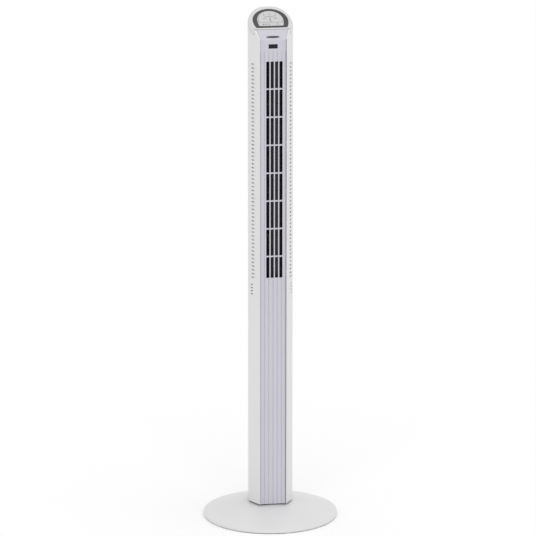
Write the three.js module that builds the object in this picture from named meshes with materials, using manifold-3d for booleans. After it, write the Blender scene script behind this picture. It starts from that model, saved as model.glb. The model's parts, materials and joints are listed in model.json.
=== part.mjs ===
// Tower fan: a slim column holding a cross-flow impeller, swinging on a round domed base.
// Millimetres, +Z up, the air outlet faces -Y. The origin is on the floor, on the swing axis.
import * as THREE from "three";
import { mergeVertices } from "three/addons/utils/BufferGeometryUtils.js";
import Module from "manifold-3d";

const wasm = await Module();
wasm.setup();

// ---------------------------------------------------------------- driving dimensions
const GAP = 0.3; // between pieces that touch
const SLIDE_GAP = 0.4; // around buttons and turning pieces
const WALL = 2.4; // moulded shells

// Base
const BASE_DIAMETER = 312;
const BASE_RIM_TOP = 8.6; // height of the rim's upper edge
const BASE_SKIRT_BOTTOM = 1.4;
const DOME_TOP = 34; // height of the flat crown under the column
const CROWN_RADIUS = 38;
const DOME_SHOULDER_RADIUS = 82; // control point of the dome's curve
const DOME_SHOULDER_HEIGHT = 31;
const DOME_RIM_INSET = 2; // where the dome meets the rim, in from the base's edge
const DOME_RIM_RISE = 1; // and above the rim's upper edge
const RIM_BEVEL = 0.6;
const RIM_BEVEL_DROP = 1.6;
const SKIRT_BEVEL = 1;
const BASE_PLATE_BOTTOM = 3;
const BASE_PLATE_THICKNESS = 2;
const FOOT_COUNT = 5;
const FOOT_RADIUS = 9;
const FOOT_INSET = 26; // foot centre, in from the base's edge
const FOOT_PLUG_RADIUS = 4;
const BASE_SCREW_COUNT = 4;
const BASE_SCREW_INSET = 21;
const WEIGHT_THICKNESS = 7;
const WEIGHT_INNER_RADIUS = 46;
const WEIGHT_EDGE_INSET = 44; // from the base's edge to the weight
const GLAND_WIDTH = 8;
const GLAND_DEPTH = 5;
const GLAND_HEIGHT = 5.4;
const GLAND_BORE_RADIUS = 1.8;
const GLAND_RECESS = 0.6; // behind the base's edge
const BASE_SCREW_TOP = 11;
const SCREW_BOSS_RADIUS = 5;

// Swivel between base and column
const SWIVEL_GAP = 3; // from the base's crown to the column
const POST_RADIUS = 14;
const POST_BORE_RADIUS = 9;
const POST_FLANGE_RADIUS = 40;
const POST_FLANGE_THICKNESS = 4;
const GEAR_MODULE = 1.25;
const SWING_GEAR_TEETH = 32;
const PINION_TEETH = 12;
const GEAR_THICKNESS = 6;
const NUT_THICKNESS = 3.4;
const NUT_RADIUS = 18;
const THRUST_RING_INNER = 23;
const THRUST_RING_OUTER = 33;
const PINION_SHAFT_RADIUS = 2.5;
const SWING_MOTOR_RADIUS = 17.5;
const SWING_MOTOR_HEIGHT = 20;
const MOTOR_EAR_THICKNESS = 1.5;
const MOTOR_EAR_WIDTH = 8;
const MOTOR_PILLAR_RADIUS = 3;
const MOTOR_PILLAR_GAP = 1.5; // from the swing motor's side to a pillar
const PINION_SHAFT_DEPTH = 8; // into the swing motor
const COLLAR_WALL = 4; // of the column foot, round the pivot post

// Column section
const COLUMN_WIDTH = 103.6;
const COLUMN_FRONT = 46; // from the swing axis to the cheeks' front edges
const COLUMN_REAR = 54;
const CHEEK_WIDEST = 0; // how far behind the axis the column is widest
const CHEEK_LEAN = THREE.MathUtils.degToRad(27); // cheek's direction at its front edge
const CHEEK_FRONT_HANDLE = 22;
const CHEEK_REAR_HANDLE = 14;
const REAR_FLAT = 16; // width of the flat back
const PARTING_X = 33; // where the rear cover meets the side panels
const FASCIA_WIDTH = 61;
const FASCIA_RECESS = 4; // behind the cheeks' front edges
const FASCIA_THICKNESS = 3.6;
const FLUTE_COUNT = 6;
const FLUTE_DEPTH = 1.8;

// Column heights
const COLUMN_HEIGHT = 1127; // from the column's foot to the front edge of the control panel
const LEAN_HEIGHT = 25; // from the bend of the fascia to the front edge of the control panel
const LEAN_DEPTH = 15; // how far the leaning fascia runs back
const LEAN_TOP_MARGIN = 4.9; // from the cheek's face to the leaning part's upper corner
const FLUTE_TOP_DROP = 23; // from the bend to the flutes' upper end
const OUTLET_DROP = 50; // from the bend to the air outlet
const OUTLET_LENGTH = 507;
const OUTLET_ROW_PITCH = 65.4;
const OUTLET_BAR = 3.2;
const OUTLET_COLUMNS = 4;
const OUTLET_SLOT_WIDTH = 7.4;
const OUTLET_SLOT_SHIFT = 2; // from a groove to the middle of its slots
const VENT_PITCH = 8.94;
const VENT_HEIGHT = 3.5;
const VENT_TOP_DROP = 9; // from the outlet's top to the middle of the first vent
const VENT_LOW_REACH = 3; // how far below the outlet's lower end the last vent may lie
const REAR_VENT_WIDTH = 30;
const MOTOR_SLIT_COUNT = 4;
const MOTOR_SLIT_PITCH = 7.4;
const MOTOR_SLIT_HEIGHT = 2;
const MOTOR_SLIT_LENGTH = 10;
const MOTOR_SLIT_DROP = 20; // from the outlet's lower end to the first slit
const IR_WINDOW_WIDTH = 20.5;
const IR_WINDOW_HEIGHT = 9.4;
const IR_WINDOW_DROP = 15; // from the bend to the middle of the window
const IR_RECEIVER_SIZE = 8;
const IR_RECEIVER_DEPTH = 5;

// Head and control panel
const HEAD_SLOPE = THREE.MathUtils.degToRad(27);
const HEAD_FRONT = 24; // from the swing axis to the front edge of the control frame
const LIP_DEPTH = 2.6; // of the cap, in front of the control frame
const CAP_PLATE = 2.2;
const CAP_SKIRT = 14;
const CAP_EDGE_RADIUS = 12;
const FRAME_HALF_WIDTH = 40.5;
const FRAME_FRONT_HALF_WIDTH = 35.4;
const FRAME_DEPTH = 69; // measured up the slope
const FRAME_SIDE_BAND = 10;
const FRAME_END_BAND = 6.6;
const FRAME_FRONT_TAPER = 2.8; // how much narrower the opening's front corners stand than its sides
const FRAME_PROUD = 0.8;
const FRAME_HEIGHT = 5;
const PANEL_THICKNESS = 2.2;
const PANEL_SUNK = 0.2; // panel's face, below the cap's face
const BUTTON_PROUD = 0.9;
const BUTTON_HEIGHT = 3.4;
const BUTTON_MARGIN = 3;
const BUTTON_RIB = 2.4; // panel left between neighbouring buttons
const POWER_BUTTON_HALF_WIDTH = 13.5;
const POWER_BUTTON_HALF_DEPTH = 7.2;
const POWER_BUTTON_UP = 48; // its middle, up the slope from the frame's front edge
const KEY_ROW_UP = 20; // lower edge of the two side keys
const LIGHT_ROW_UP = 13.4;
const LIGHT_RADIUS = 1.2;
const LIGHT_PLACES = [-17.5, -11.5, -5, 14.5];
const LIGHT_LENGTH = 4.2;
const LIGHT_PROUD = 0.2;
const KEY_SWITCH_X = 12;
const KEY_SWITCH_UP = 30;
const SWITCH_SIZE = 6;
const BOARD_THICKNESS = 1.6;
const BUTTON_TRAVEL = 0.8;
const BOARD_DROP = 8; // board's upper face, below the cap's face
const BADGE_WIDTH = 30;
const BADGE_HEIGHT = 4;
const BADGE_THICKNESS = 1.2;
const BADGE_UP = 7; // its middle, above the bend along the lean

// Fan
const FAN_SET_BACK = 4; // impeller's axis, behind the swing axis
const IMPELLER_RADIUS = 33;
const BLADE_DEPTH = 7;
const BLADE_COUNT = 16;
const BLADE_THICKNESS = 1.3;
const DISC_COUNT = 6;
const DISC_THICKNESS = 2;
const SHAFT_RADIUS = 3;
const DUCT_CLEARANCE = 5;
const DUCT_WALL = 1.6;
const DUCT_PLATE = 2.4;
const DUCT_FLOOR_DROP = 12; // below the outlet
const DUCT_ROOF_RISE = 5; // above the outlet
const DUCT_MOUTH_X = 26;
const MOTOR_RADIUS = 30;
const MOTOR_HEIGHT = 54;
const ROTOR_RADIUS = 15;
const MOUNT_RING_RADIUS = 20;
const MOUNT_RING_BORE = 13;
const MOUNT_RING_HEIGHT = 4;
const BRACKET_THICKNESS = 2.4;
const BEARING_RADIUS = 8;
const BEARING_HEIGHT = 7;
const BEARING_FLANGE = 3;
const IMPELLER_END_GAP = 3; // from the impeller's ends to the duct's floor and roof
const HUB_RADIUS = 9;
const HUB_HEIGHT = 14;
const PLATE_BORE_RADIUS = 10; // in the duct floor and the motor bracket

// Electrics and fasteners
const POWER_BOARD_WIDTH = 58;
const POWER_BOARD_HEIGHT = 110;
const POWER_BOARD_RISE = 100; // above the column's foot
const POWER_BOARD_STANDOFF = 10; // from the rear cover
const BOARD_POST_RADIUS = 3;
const BOARD_POST_INSET = 8; // from the board's upper and lower ends
const HARNESS_RADIUS = 2.2;
const HARNESS_X = -34;
const HARNESS_Y = 31;
const CAPACITOR_WIDTH = 34;
const CAPACITOR_HEIGHT = 24;
const COMPONENT_DEPTH = 14; // of the parts that stand on the power board
const TRANSFORMER_DEPTH = 24;
const SCREW_RADIUS = 1.6;
const SCREW_HEAD_RADIUS = 3.2;
const SCREW_HEAD_HEIGHT = 1.5;
const REAR_SCREW_X = 8;
const LUG_SIZE = 11;
const LUG_SINK = 1; // of a lug into its plate
const FOOT_PLATE_THICKNESS = 4;

// ---------------------------------------------------------------- places worked out from them
const BASE_RADIUS = BASE_DIAMETER / 2;
const COLUMN_BOTTOM = DOME_TOP + SWIVEL_GAP;
const HEAD_FRONT_Z = COLUMN_BOTTOM + COLUMN_HEIGHT;
const HEAD_RISE = Math.tan(HEAD_SLOPE);
const BEND_Z = HEAD_FRONT_Z - LEAN_HEIGHT;
const FASCIA_FRONT_Y = -COLUMN_FRONT + FASCIA_RECESS;
const FASCIA_BACK_Y = FASCIA_FRONT_Y + FASCIA_THICKNESS;
const LIP_Y = -HEAD_FRONT - LIP_DEPTH;
const LEAN_TOP_Y = FASCIA_FRONT_Y + LEAN_DEPTH;
const headZ = (y) => HEAD_FRONT_Z + (y + HEAD_FRONT) * HEAD_RISE;
const LEAN_TOP_Z = headZ(LIP_Y) - CAP_PLATE - GAP;
const LEAN_ANGLE = Math.atan2(LEAN_TOP_Z - BEND_Z, LEAN_DEPTH);
const LEAN_LENGTH = Math.hypot(LEAN_TOP_Z - BEND_Z, LEAN_DEPTH);
const OUTLET_TOP = BEND_Z - OUTLET_DROP;
const OUTLET_BOTTOM = OUTLET_TOP - OUTLET_LENGTH;
const DUCT_FLOOR_Z = OUTLET_BOTTOM - DUCT_FLOOR_DROP;
const DUCT_ROOF_Z = OUTLET_TOP + DUCT_ROOF_RISE;
const FOOT_PLATE_BOTTOM = COLUMN_BOTTOM + 1;
const FOOT_PLATE_TOP = FOOT_PLATE_BOTTOM + FOOT_PLATE_THICKNESS;
const GEAR_Z = FOOT_PLATE_TOP + 2;
const GEAR_CENTRES = (GEAR_MODULE * (SWING_GEAR_TEETH + PINION_TEETH)) / 2;
const SWING_MOTOR_Z = GEAR_Z + GEAR_THICKNESS + NUT_THICKNESS + 2;
const FAR = 400; // half the size of a cutting block
const BASE_FACETS = 44;
const SCREW_FACETS = 8;

// ---------------------------------------------------------------- geometry helpers
const vec = (x, y) => new THREE.Vector2(x, y);

// A closed three.js geometry as a solid that can be joined and cut.
function solid(geometry) {
  const bare = geometry.clone();
  bare.deleteAttribute("normal");
  bare.deleteAttribute("uv");
  const merged = mergeVertices(bare, 1e-4);
  return new wasm.Manifold(
    new wasm.Mesh({
      numProp: 3,
      vertProperties: merged.attributes.position.array,
      triVerts: new Uint32Array(merged.index.array),
    }),
  );
}

function geometryOf(shape) {
  const mesh = shape.getMesh();
  const geometry = new THREE.BufferGeometry();
  geometry.setAttribute("position", new THREE.BufferAttribute(mesh.vertProperties, mesh.numProp));
  geometry.setIndex(new THREE.BufferAttribute(mesh.triVerts, 1));
  return geometry;
}

const joined = (first, ...others) => others.reduce((sum, other) => sum.add(other), first);
const cut = (blank, ...tools) => tools.reduce((rest, tool) => rest.subtract(tool), blank);

function prismGeometry(outline, bottom, top, holes = []) {
  const shape = new THREE.Shape(outline);
  shape.holes = holes.map((hole) => new THREE.Path(hole));
  const geometry = new THREE.ExtrudeGeometry(shape, { depth: top - bottom, bevelEnabled: false });
  return geometry.translate(0, 0, bottom);
}

const prism = (outline, bottom, top, holes) => solid(prismGeometry(outline, bottom, top, holes));

function blockGeometry([x0, x1], [y0, y1], [z0, z1]) {
  const geometry = new THREE.BoxGeometry(x1 - x0, y1 - y0, z1 - z0);
  return geometry.translate((x0 + x1) / 2, (y0 + y1) / 2, (z0 + z1) / 2);
}

const block = (xs, ys, zs) => solid(blockGeometry(xs, ys, zs));

function rodGeometry(radius, bottom, top, sides = 24) {
  const geometry = new THREE.CylinderGeometry(radius, radius, top - bottom, sides);
  return geometry.rotateX(Math.PI / 2).translate(0, 0, (bottom + top) / 2);
}

const rod = (radius, bottom, top, x = 0, y = 0, sides = 24) =>
  solid(rodGeometry(radius, bottom, top, sides).translate(x, y, 0));

// A round piece turned from a closed profile of [radius, height] points, anticlockwise.
function turned(profile, sides = 32) {
  const points = profile.map(([radius, height]) => vec(radius, height));
  points.push(points[0].clone());
  return new THREE.LatheGeometry(points, sides).rotateX(Math.PI / 2);
}

const ring = (inner, outer, bottom, top, sides) =>
  turned([[inner, bottom], [outer, bottom], [outer, top], [inner, top]], sides);

// A convex outline moved inwards by a distance.
function inset(outline, distance) {
  const count = outline.length;
  const inward = outline.map((point, i) => {
    const along = outline[(i + 1) % count].clone().sub(point).normalize();
    return vec(-along.y, along.x);
  });
  return outline.map((point, i) => {
    const before = inward[(i + count - 1) % count];
    const after = inward[i];
    const step = before.clone().add(after).multiplyScalar(distance / (1 + before.dot(after)));
    return point.clone().add(step);
  });
}

function ellipse(halfWidth, halfDepth, x, y, sides = 28) {
  return Array.from({ length: sides }, (_, i) => {
    const angle = (2 * Math.PI * i) / sides;
    return vec(x + halfWidth * Math.cos(angle), y + halfDepth * Math.sin(angle));
  });
}

// A D outline: straight front edge at y = front, gently spread sides, elliptical back.
function dOutline(frontHalfWidth, halfWidth, front, back, steps = 16) {
  const shoulder = front + (back - front) * 0.38;
  const arc = Array.from({ length: steps + 1 }, (_, i) => {
    const angle = (Math.PI * i) / steps;
    return vec(halfWidth * Math.cos(angle), shoulder + (back - shoulder) * Math.sin(angle));
  });
  const bulge = vec((frontHalfWidth + halfWidth) / 2 + (halfWidth - frontHalfWidth) * 0.25, 0);
  bulge.y = (front + shoulder) / 2;
  const left = (point) => vec(-point.x, point.y);
  return [vec(frontHalfWidth, front), bulge, ...arc, left(bulge), vec(-frontHalfWidth, front)];
}

// Involute-like teeth with straight flanks; the first tooth is centred at the angle phase.
function gearOutline(teeth, phase) {
  const pitchRadius = (GEAR_MODULE * teeth) / 2;
  const flank = [
    [-1.25 * GEAR_MODULE, -0.86 * GEAR_MODULE],
    [0.8 * GEAR_MODULE, -0.36 * GEAR_MODULE],
    [0.8 * GEAR_MODULE, 0.36 * GEAR_MODULE],
    [-1.25 * GEAR_MODULE, 0.86 * GEAR_MODULE],
  ];
  return Array.from({ length: teeth }, (_, i) => {
    const middle = phase + (2 * Math.PI * i) / teeth;
    return flank.map(([rise, side]) => {
      const radius = pitchRadius + rise;
      const angle = middle + side / radius;
      return vec(radius * Math.cos(angle), radius * Math.sin(angle));
    });
  }).flat();
}

// ---------------------------------------------------------------- column section
const VENT_FRONT_STATION = 0.36; // shares of the cheek's curve between which the vents lie
const VENT_REAR_STATION = 0.7;
const CHEEK_STATIONS = [0, 0.18, VENT_FRONT_STATION, VENT_REAR_STATION, 0.85, 1];

const cheek = new THREE.CubicBezierCurve(
  vec(FASCIA_WIDTH / 2, -COLUMN_FRONT),
  vec(
    FASCIA_WIDTH / 2 + CHEEK_FRONT_HANDLE * Math.sin(CHEEK_LEAN),
    -COLUMN_FRONT + CHEEK_FRONT_HANDLE * Math.cos(CHEEK_LEAN),
  ),
  vec(COLUMN_WIDTH / 2, CHEEK_WIDEST - CHEEK_REAR_HANDLE),
  vec(COLUMN_WIDTH / 2, CHEEK_WIDEST),
);

function columnOutline() {
  const cornerSteps = 5;
  const reach = COLUMN_WIDTH / 2 - REAR_FLAT / 2;
  const corner = Array.from({ length: cornerSteps }, (_, i) => {
    const angle = (Math.PI / 2) * ((i + 1) / cornerSteps);
    return vec(
      REAR_FLAT / 2 + reach * Math.cos(angle),
      CHEEK_WIDEST + (COLUMN_REAR - CHEEK_WIDEST) * Math.sin(angle),
    );
  });
  const right = [...CHEEK_STATIONS.map((station) => cheek.getPoint(station)), ...corner];
  const left = right.map((point) => vec(-point.x, point.y)).reverse();
  return [...right, ...left];
}

const OUTLINE = columnOutline();
const INSIDE = inset(OUTLINE, WALL);
const FITTED = inset(OUTLINE, WALL + GAP); // for what spans or seats on the column's inside

const inFrontOf = (y) => block([-FAR, FAR], [y - FAR, y], [-FAR, 4 * FAR]);

// Moves a shape made about z = 0 onto the head's sloping face.
const onSlope = (geometry) =>
  geometry
    .applyMatrix4(new THREE.Matrix4().makeShear(0, 0, 0, HEAD_RISE, 0, 0))
    .translate(0, 0, headZ(0));

const slopeLayer = (bottom, top) => solid(onSlope(blockGeometry([-FAR, FAR], [-FAR, FAR], [bottom, top])));

// The leaning upper part of the fascia, in its own frame: y up the lean, z out of its face.
const leanFrame = new THREE.Matrix4()
  .makeTranslation(0, FASCIA_FRONT_Y, BEND_Z)
  .multiply(new THREE.Matrix4().makeRotationX(LEAN_ANGLE));

const halfWidthAt = (y) => {
  const station = CHEEK_STATIONS.map((t) => cheek.getPoint(t));
  const next = station.findIndex((point) => point.y > y);
  const [a, b] = [station[next - 1], station[next]];
  return a.x + ((b.x - a.x) * (y - a.y)) / (b.y - a.y);
};

const LEAN_TOP_HALF_WIDTH = halfWidthAt(LEAN_TOP_Y) - LEAN_TOP_MARGIN;
const FASCIA_HALF_WIDTH = FASCIA_WIDTH / 2 - GAP;

function leanPlate(extra, under, above) {
  const outline = [
    vec(-FASCIA_HALF_WIDTH - extra, 0),
    vec(FASCIA_HALF_WIDTH + extra, 0),
    vec(LEAN_TOP_HALF_WIDTH + extra, LEAN_LENGTH),
    vec(-LEAN_TOP_HALF_WIDTH - extra, LEAN_LENGTH),
  ];
  return solid(prismGeometry(outline, -under, above).applyMatrix4(leanFrame));
}

// Room that the fascia needs in the panels and the cap around it.
const fasciaRoom = joined(
  block(
    [-FASCIA_WIDTH / 2, FASCIA_WIDTH / 2],
    [-FAR, FASCIA_BACK_Y + GAP],
    [-FAR, HEAD_FRONT_Z],
  ),
  leanPlate(GAP, FASCIA_THICKNESS + GAP, FAR / 4),
);

// ---------------------------------------------------------------- scene graph
const fan = new THREE.Group();
const base = new THREE.Group();
const column = new THREE.Group();
const head = new THREE.Group(); // frame of the control panel: y up the slope, z out of its face
head.position.set(0, -HEAD_FRONT, HEAD_FRONT_Z);
head.rotation.x = HEAD_SLOPE;
const leaning = new THREE.Group();
leaning.applyMatrix4(leanFrame);
const impellerGroup = new THREE.Group();
impellerGroup.position.set(0, FAN_SET_BACK, 0);
const pinionGroup = new THREE.Group();
pinionGroup.position.set(0, GEAR_CENTRES, 0);
fan.add(base, column);
column.add(head, leaning, impellerGroup, pinionGroup);

const FINISHES = {
  white: { color: 0xe6e6e6, roughness: 0.38, metalness: 0 },
  fascia: { color: 0xcfced8, roughness: 0.42, metalness: 0 },
  darkGrey: { color: 0x4c4c4e, roughness: 0.4, metalness: 0 },
  membrane: { color: 0xd8d8d8, roughness: 0.35, metalness: 0 },
  black: { color: 0x17181a, roughness: 0.5, metalness: 0 },
  lens: { color: 0x101114, roughness: 0.15, metalness: 0 },
  rubber: { color: 0x26272a, roughness: 0.85, metalness: 0 },
  steel: { color: 0x9c9ea1, roughness: 0.35, metalness: 1 },
  castIron: { color: 0x55585c, roughness: 0.6, metalness: 0.9 },
  board: { color: 0x2f6b3c, roughness: 0.5, metalness: 0 },
  acetal: { color: 0xe9e6dc, roughness: 0.45, metalness: 0 },
  bronze: { color: 0xa9824d, roughness: 0.4, metalness: 1 },
};

function place(group, name, shape, finish) {
  const geometry = shape.isBufferGeometry ? shape : geometryOf(shape);
  const mesh = new THREE.Mesh(geometry, new THREE.MeshStandardMaterial(FINISHES[finish]));
  mesh.name = name;
  group.add(mesh);
  return mesh;
}

const around = (count, radius, offset = 0) =>
  Array.from({ length: count }, (_, i) => {
    const angle = offset + (2 * Math.PI * i) / count;
    return vec(radius * Math.cos(angle), radius * Math.sin(angle));
  });

// ---------------------------------------------------------------- base
// The dome from its crown outwards, lowered by drop, as far as a share of its curve.
function domeProfile(drop, share = 1) {
  const steps = 5;
  const curve = new THREE.QuadraticBezierCurve(
    vec(CROWN_RADIUS, DOME_TOP - drop),
    vec(DOME_SHOULDER_RADIUS, DOME_SHOULDER_HEIGHT - drop),
    vec(BASE_RADIUS - DOME_RIM_INSET, BASE_RIM_TOP + DOME_RIM_RISE - drop),
  );
  return Array.from({ length: steps + 1 }, (_, i) => {
    const point = curve.getPoint((share * i) / steps);
    return [point.x, point.y];
  });
}

const footPlaces = around(FOOT_COUNT, BASE_RADIUS - FOOT_INSET, Math.PI / 2);
const baseScrewPlaces = around(BASE_SCREW_COUNT, BASE_RADIUS - BASE_SCREW_INSET, Math.PI / 4);
const plateRadius = BASE_RADIUS - WALL - GAP;
const plateTop = BASE_PLATE_BOTTOM + BASE_PLATE_THICKNESS;
const glandRear = BASE_RADIUS - GLAND_RECESS;
const glandBottom = BASE_SKIRT_BOTTOM + GAP;
const glandRoom = block(
  [-GLAND_WIDTH / 2 - GAP, GLAND_WIDTH / 2 + GAP],
  [glandRear - GLAND_DEPTH - GAP, BASE_RADIUS + 1],
  [-1, glandBottom + GLAND_HEIGHT + GAP],
);

function baseCover() {
  const outer = [
    [BASE_RADIUS - SKIRT_BEVEL, BASE_SKIRT_BOTTOM],
    [BASE_RADIUS, BASE_SKIRT_BOTTOM + SKIRT_BEVEL],
    [BASE_RADIUS, BASE_RIM_TOP - RIM_BEVEL_DROP],
    [BASE_RADIUS - RIM_BEVEL, BASE_RIM_TOP],
    ...domeProfile(0).reverse(),
    [POST_RADIUS + SLIDE_GAP, DOME_TOP],
  ];
  const inner = [
    [POST_RADIUS + SLIDE_GAP, DOME_TOP - WALL],
    ...domeProfile(WALL, 0.96),
    [BASE_RADIUS - WALL, BASE_RIM_TOP - WALL + RIM_BEVEL],
    [BASE_RADIUS - WALL, BASE_SKIRT_BOTTOM],
  ];
  const middle = WALL / 2; // depth at which the screw bosses end inside the shell
  const underDome = [
    [0, 0],
    [BASE_RADIUS - middle, 0],
    ...domeProfile(middle).reverse(),
    [0, DOME_TOP - middle],
  ];
  const shell = solid(turned([...outer, ...inner], BASE_FACETS));
  const inside = solid(turned(underDome, BASE_FACETS));
  const bosses = baseScrewPlaces.map((p) =>
    rod(SCREW_BOSS_RADIUS, plateTop + GAP, DOME_TOP, p.x, p.y, 12).intersect(inside),
  );
  const holes = baseScrewPlaces.map((p) =>
    rod(SCREW_RADIUS + GAP, 0, BASE_SCREW_TOP + 2 * GAP, p.x, p.y, SCREW_FACETS),
  );
  return cut(joined(shell, ...bosses), ...holes, glandRoom);
}

place(base, "base_cover", baseCover(), "white");

const footHoles = footPlaces.map((p) => rod(FOOT_PLUG_RADIUS + GAP, 0, 20, p.x, p.y, 12));
const screwHoles = baseScrewPlaces.map((p) => rod(SCREW_RADIUS + GAP, 0, 20, p.x, p.y, SCREW_FACETS));
const plateBlank = solid(ring(POST_BORE_RADIUS, plateRadius, BASE_PLATE_BOTTOM, plateTop, BASE_FACETS));
place(base, "base_plate", cut(plateBlank, ...footHoles, ...screwHoles, glandRoom), "black");

footPlaces.forEach((p, i) => {
  const pad = [
    [0, 0],
    [FOOT_RADIUS - 1, 0],
    [FOOT_RADIUS, 0.8],
    [FOOT_RADIUS, BASE_PLATE_BOTTOM - GAP],
    [FOOT_PLUG_RADIUS, BASE_PLATE_BOTTOM - GAP],
    [FOOT_PLUG_RADIUS, plateTop - GAP],
    [0, plateTop - GAP],
  ];
  const foot = place(base, `rubber_foot_${i + 1}`, turned(pad, 12), "rubber");
  foot.position.set(p.x, p.y, 0);
});

baseScrewPlaces.forEach((p, i) => {
  const seat = BASE_PLATE_BOTTOM - GAP;
  const screw = joined(
    rod(SCREW_HEAD_RADIUS, seat - SCREW_HEAD_HEIGHT, seat, 0, 0, SCREW_FACETS),
    rod(SCREW_RADIUS, seat - SCREW_HEAD_HEIGHT / 2, BASE_SCREW_TOP, 0, 0, SCREW_FACETS),
  );
  place(base, `base_screw_${i + 1}`, screw, "steel").position.set(p.x, p.y, 0);
});

const weightBottom = plateTop + GAP;
const weightTop = weightBottom + WEIGHT_THICKNESS;
place(
  base,
  "base_weight",
  ring(WEIGHT_INNER_RADIUS, BASE_RADIUS - WEIGHT_EDGE_INSET, weightBottom, weightTop, 40),
  "castIron",
);

const glandBore = new THREE.CylinderGeometry(GLAND_BORE_RADIUS, GLAND_BORE_RADIUS, 4 * GLAND_DEPTH, 12);
glandBore.translate(0, glandRear, glandBottom + GLAND_HEIGHT / 2);
const glandBlank = block(
  [-GLAND_WIDTH / 2, GLAND_WIDTH / 2],
  [glandRear - GLAND_DEPTH, glandRear],
  [glandBottom, glandBottom + GLAND_HEIGHT],
);
place(base, "cord_gland", cut(glandBlank, solid(glandBore)), "rubber");

// ---------------------------------------------------------------- swivel
const postBottom = plateTop + GAP;
const postTop = GEAR_Z + GEAR_THICKNESS + GAP + NUT_THICKNESS;
place(
  base,
  "pivot_post",
  turned([
    [POST_BORE_RADIUS, postBottom],
    [POST_FLANGE_RADIUS, postBottom],
    [POST_FLANGE_RADIUS, postBottom + POST_FLANGE_THICKNESS],
    [POST_RADIUS, postBottom + POST_FLANGE_THICKNESS],
    [POST_RADIUS, postTop],
    [POST_BORE_RADIUS, postTop],
  ]),
  "acetal",
);

const gearBore = ellipse(POST_RADIUS + GAP, POST_RADIUS + GAP, 0, 0, 24);
place(
  base,
  "swing_gear",
  prism(
    gearOutline(SWING_GEAR_TEETH, Math.PI / 2 + Math.PI / SWING_GEAR_TEETH),
    GEAR_Z,
    GEAR_Z + GEAR_THICKNESS,
    [gearBore],
  ),
  "acetal",
);
const nutBottom = GEAR_Z + GEAR_THICKNESS + GAP;
place(
  base,
  "post_nut",
  ring(POST_RADIUS + GAP, NUT_RADIUS, nutBottom, nutBottom + NUT_THICKNESS, 24),
  "steel",
);
place(
  base,
  "thrust_ring",
  ring(THRUST_RING_INNER, THRUST_RING_OUTER, DOME_TOP + GAP, FOOT_PLATE_BOTTOM - GAP),
  "acetal",
);

const shaftTop = SWING_MOTOR_Z + PINION_SHAFT_DEPTH;
place(
  pinionGroup,
  "swing_pinion",
  joined(
    prism(gearOutline(PINION_TEETH, -Math.PI / 2), GEAR_Z, GEAR_Z + GEAR_THICKNESS),
    rod(PINION_SHAFT_RADIUS, GEAR_Z + 1, shaftTop, 0, 0, 12),
  ),
  "acetal",
);

// ---------------------------------------------------------------- column foot and its motor
const pillarX = SWING_MOTOR_RADIUS + MOTOR_PILLAR_RADIUS + MOTOR_PILLAR_GAP;
const earReach = pillarX + MOTOR_PILLAR_RADIUS;

function lug(x, bottom) {
  const rear = COLUMN_REAR - WALL - GAP;
  const half = LUG_SIZE / 2;
  const blank = block([x - half, x + half], [rear - LUG_SIZE, rear], [bottom, bottom + LUG_SIZE]);
  const inside = prism(FITTED, bottom, bottom + LUG_SIZE);
  return blank.intersect(inside).subtract(screwBore(x, bottom + half));
}

function rearwardRod(radius, front, rear, x, z, sides = SCREW_FACETS) {
  const geometry = new THREE.CylinderGeometry(radius, radius, rear - front, sides);
  return geometry.translate(x, (front + rear) / 2, z);
}

function screwBore(x, z) {
  return solid(rearwardRod(SCREW_RADIUS + GAP, COLUMN_REAR - 3 * LUG_SIZE, COLUMN_REAR + 1, x, z));
}

const rearScrewXs = [-REAR_SCREW_X, REAR_SCREW_X];
const collarRadius = POST_RADIUS + SLIDE_GAP;
place(
  column,
  "column_foot",
  cut(
    joined(
      prism(FITTED, FOOT_PLATE_BOTTOM, FOOT_PLATE_TOP).subtract(
        inFrontOf(FASCIA_BACK_Y + 2 * GAP),
      ),
      rod(collarRadius + COLLAR_WALL, FOOT_PLATE_BOTTOM, GEAR_Z - GAP, 0, 0, 32),
      ...[-pillarX, pillarX].map((x) =>
        rod(MOTOR_PILLAR_RADIUS, FOOT_PLATE_BOTTOM, SWING_MOTOR_Z - GAP, x, GEAR_CENTRES, 12),
      ),
      ...rearScrewXs.map((x) => lug(x, FOOT_PLATE_TOP - LUG_SINK)),
    ),
    rod(collarRadius, 0, GEAR_Z + 1, 0, 0, 32),
    rod(THRUST_RING_OUTER + 1, 0, FOOT_PLATE_BOTTOM, 0, 0, 32),
  ),
  "black",
);

place(
  column,
  "swing_motor",
  cut(
    joined(
      rod(SWING_MOTOR_RADIUS, SWING_MOTOR_Z, SWING_MOTOR_Z + SWING_MOTOR_HEIGHT, 0, GEAR_CENTRES),
      block(
        [-earReach, earReach],
        [GEAR_CENTRES - MOTOR_EAR_WIDTH / 2, GEAR_CENTRES + MOTOR_EAR_WIDTH / 2],
        [SWING_MOTOR_Z, SWING_MOTOR_Z + MOTOR_EAR_THICKNESS],
      ),
    ),
    rod(PINION_SHAFT_RADIUS + SLIDE_GAP, 0, shaftTop + 1, 0, GEAR_CENTRES, 12),
  ),
  "steel",
);

// ---------------------------------------------------------------- column shells
const ventSpan = OUTLET_LENGTH - VENT_TOP_DROP + VENT_LOW_REACH;
const ventCount = Math.floor(ventSpan / VENT_PITCH) + 1;
const topVent = OUTLET_TOP - VENT_TOP_DROP;
const ventHeights = Array.from({ length: ventCount }, (_, i) => topVent - i * VENT_PITCH);

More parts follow.
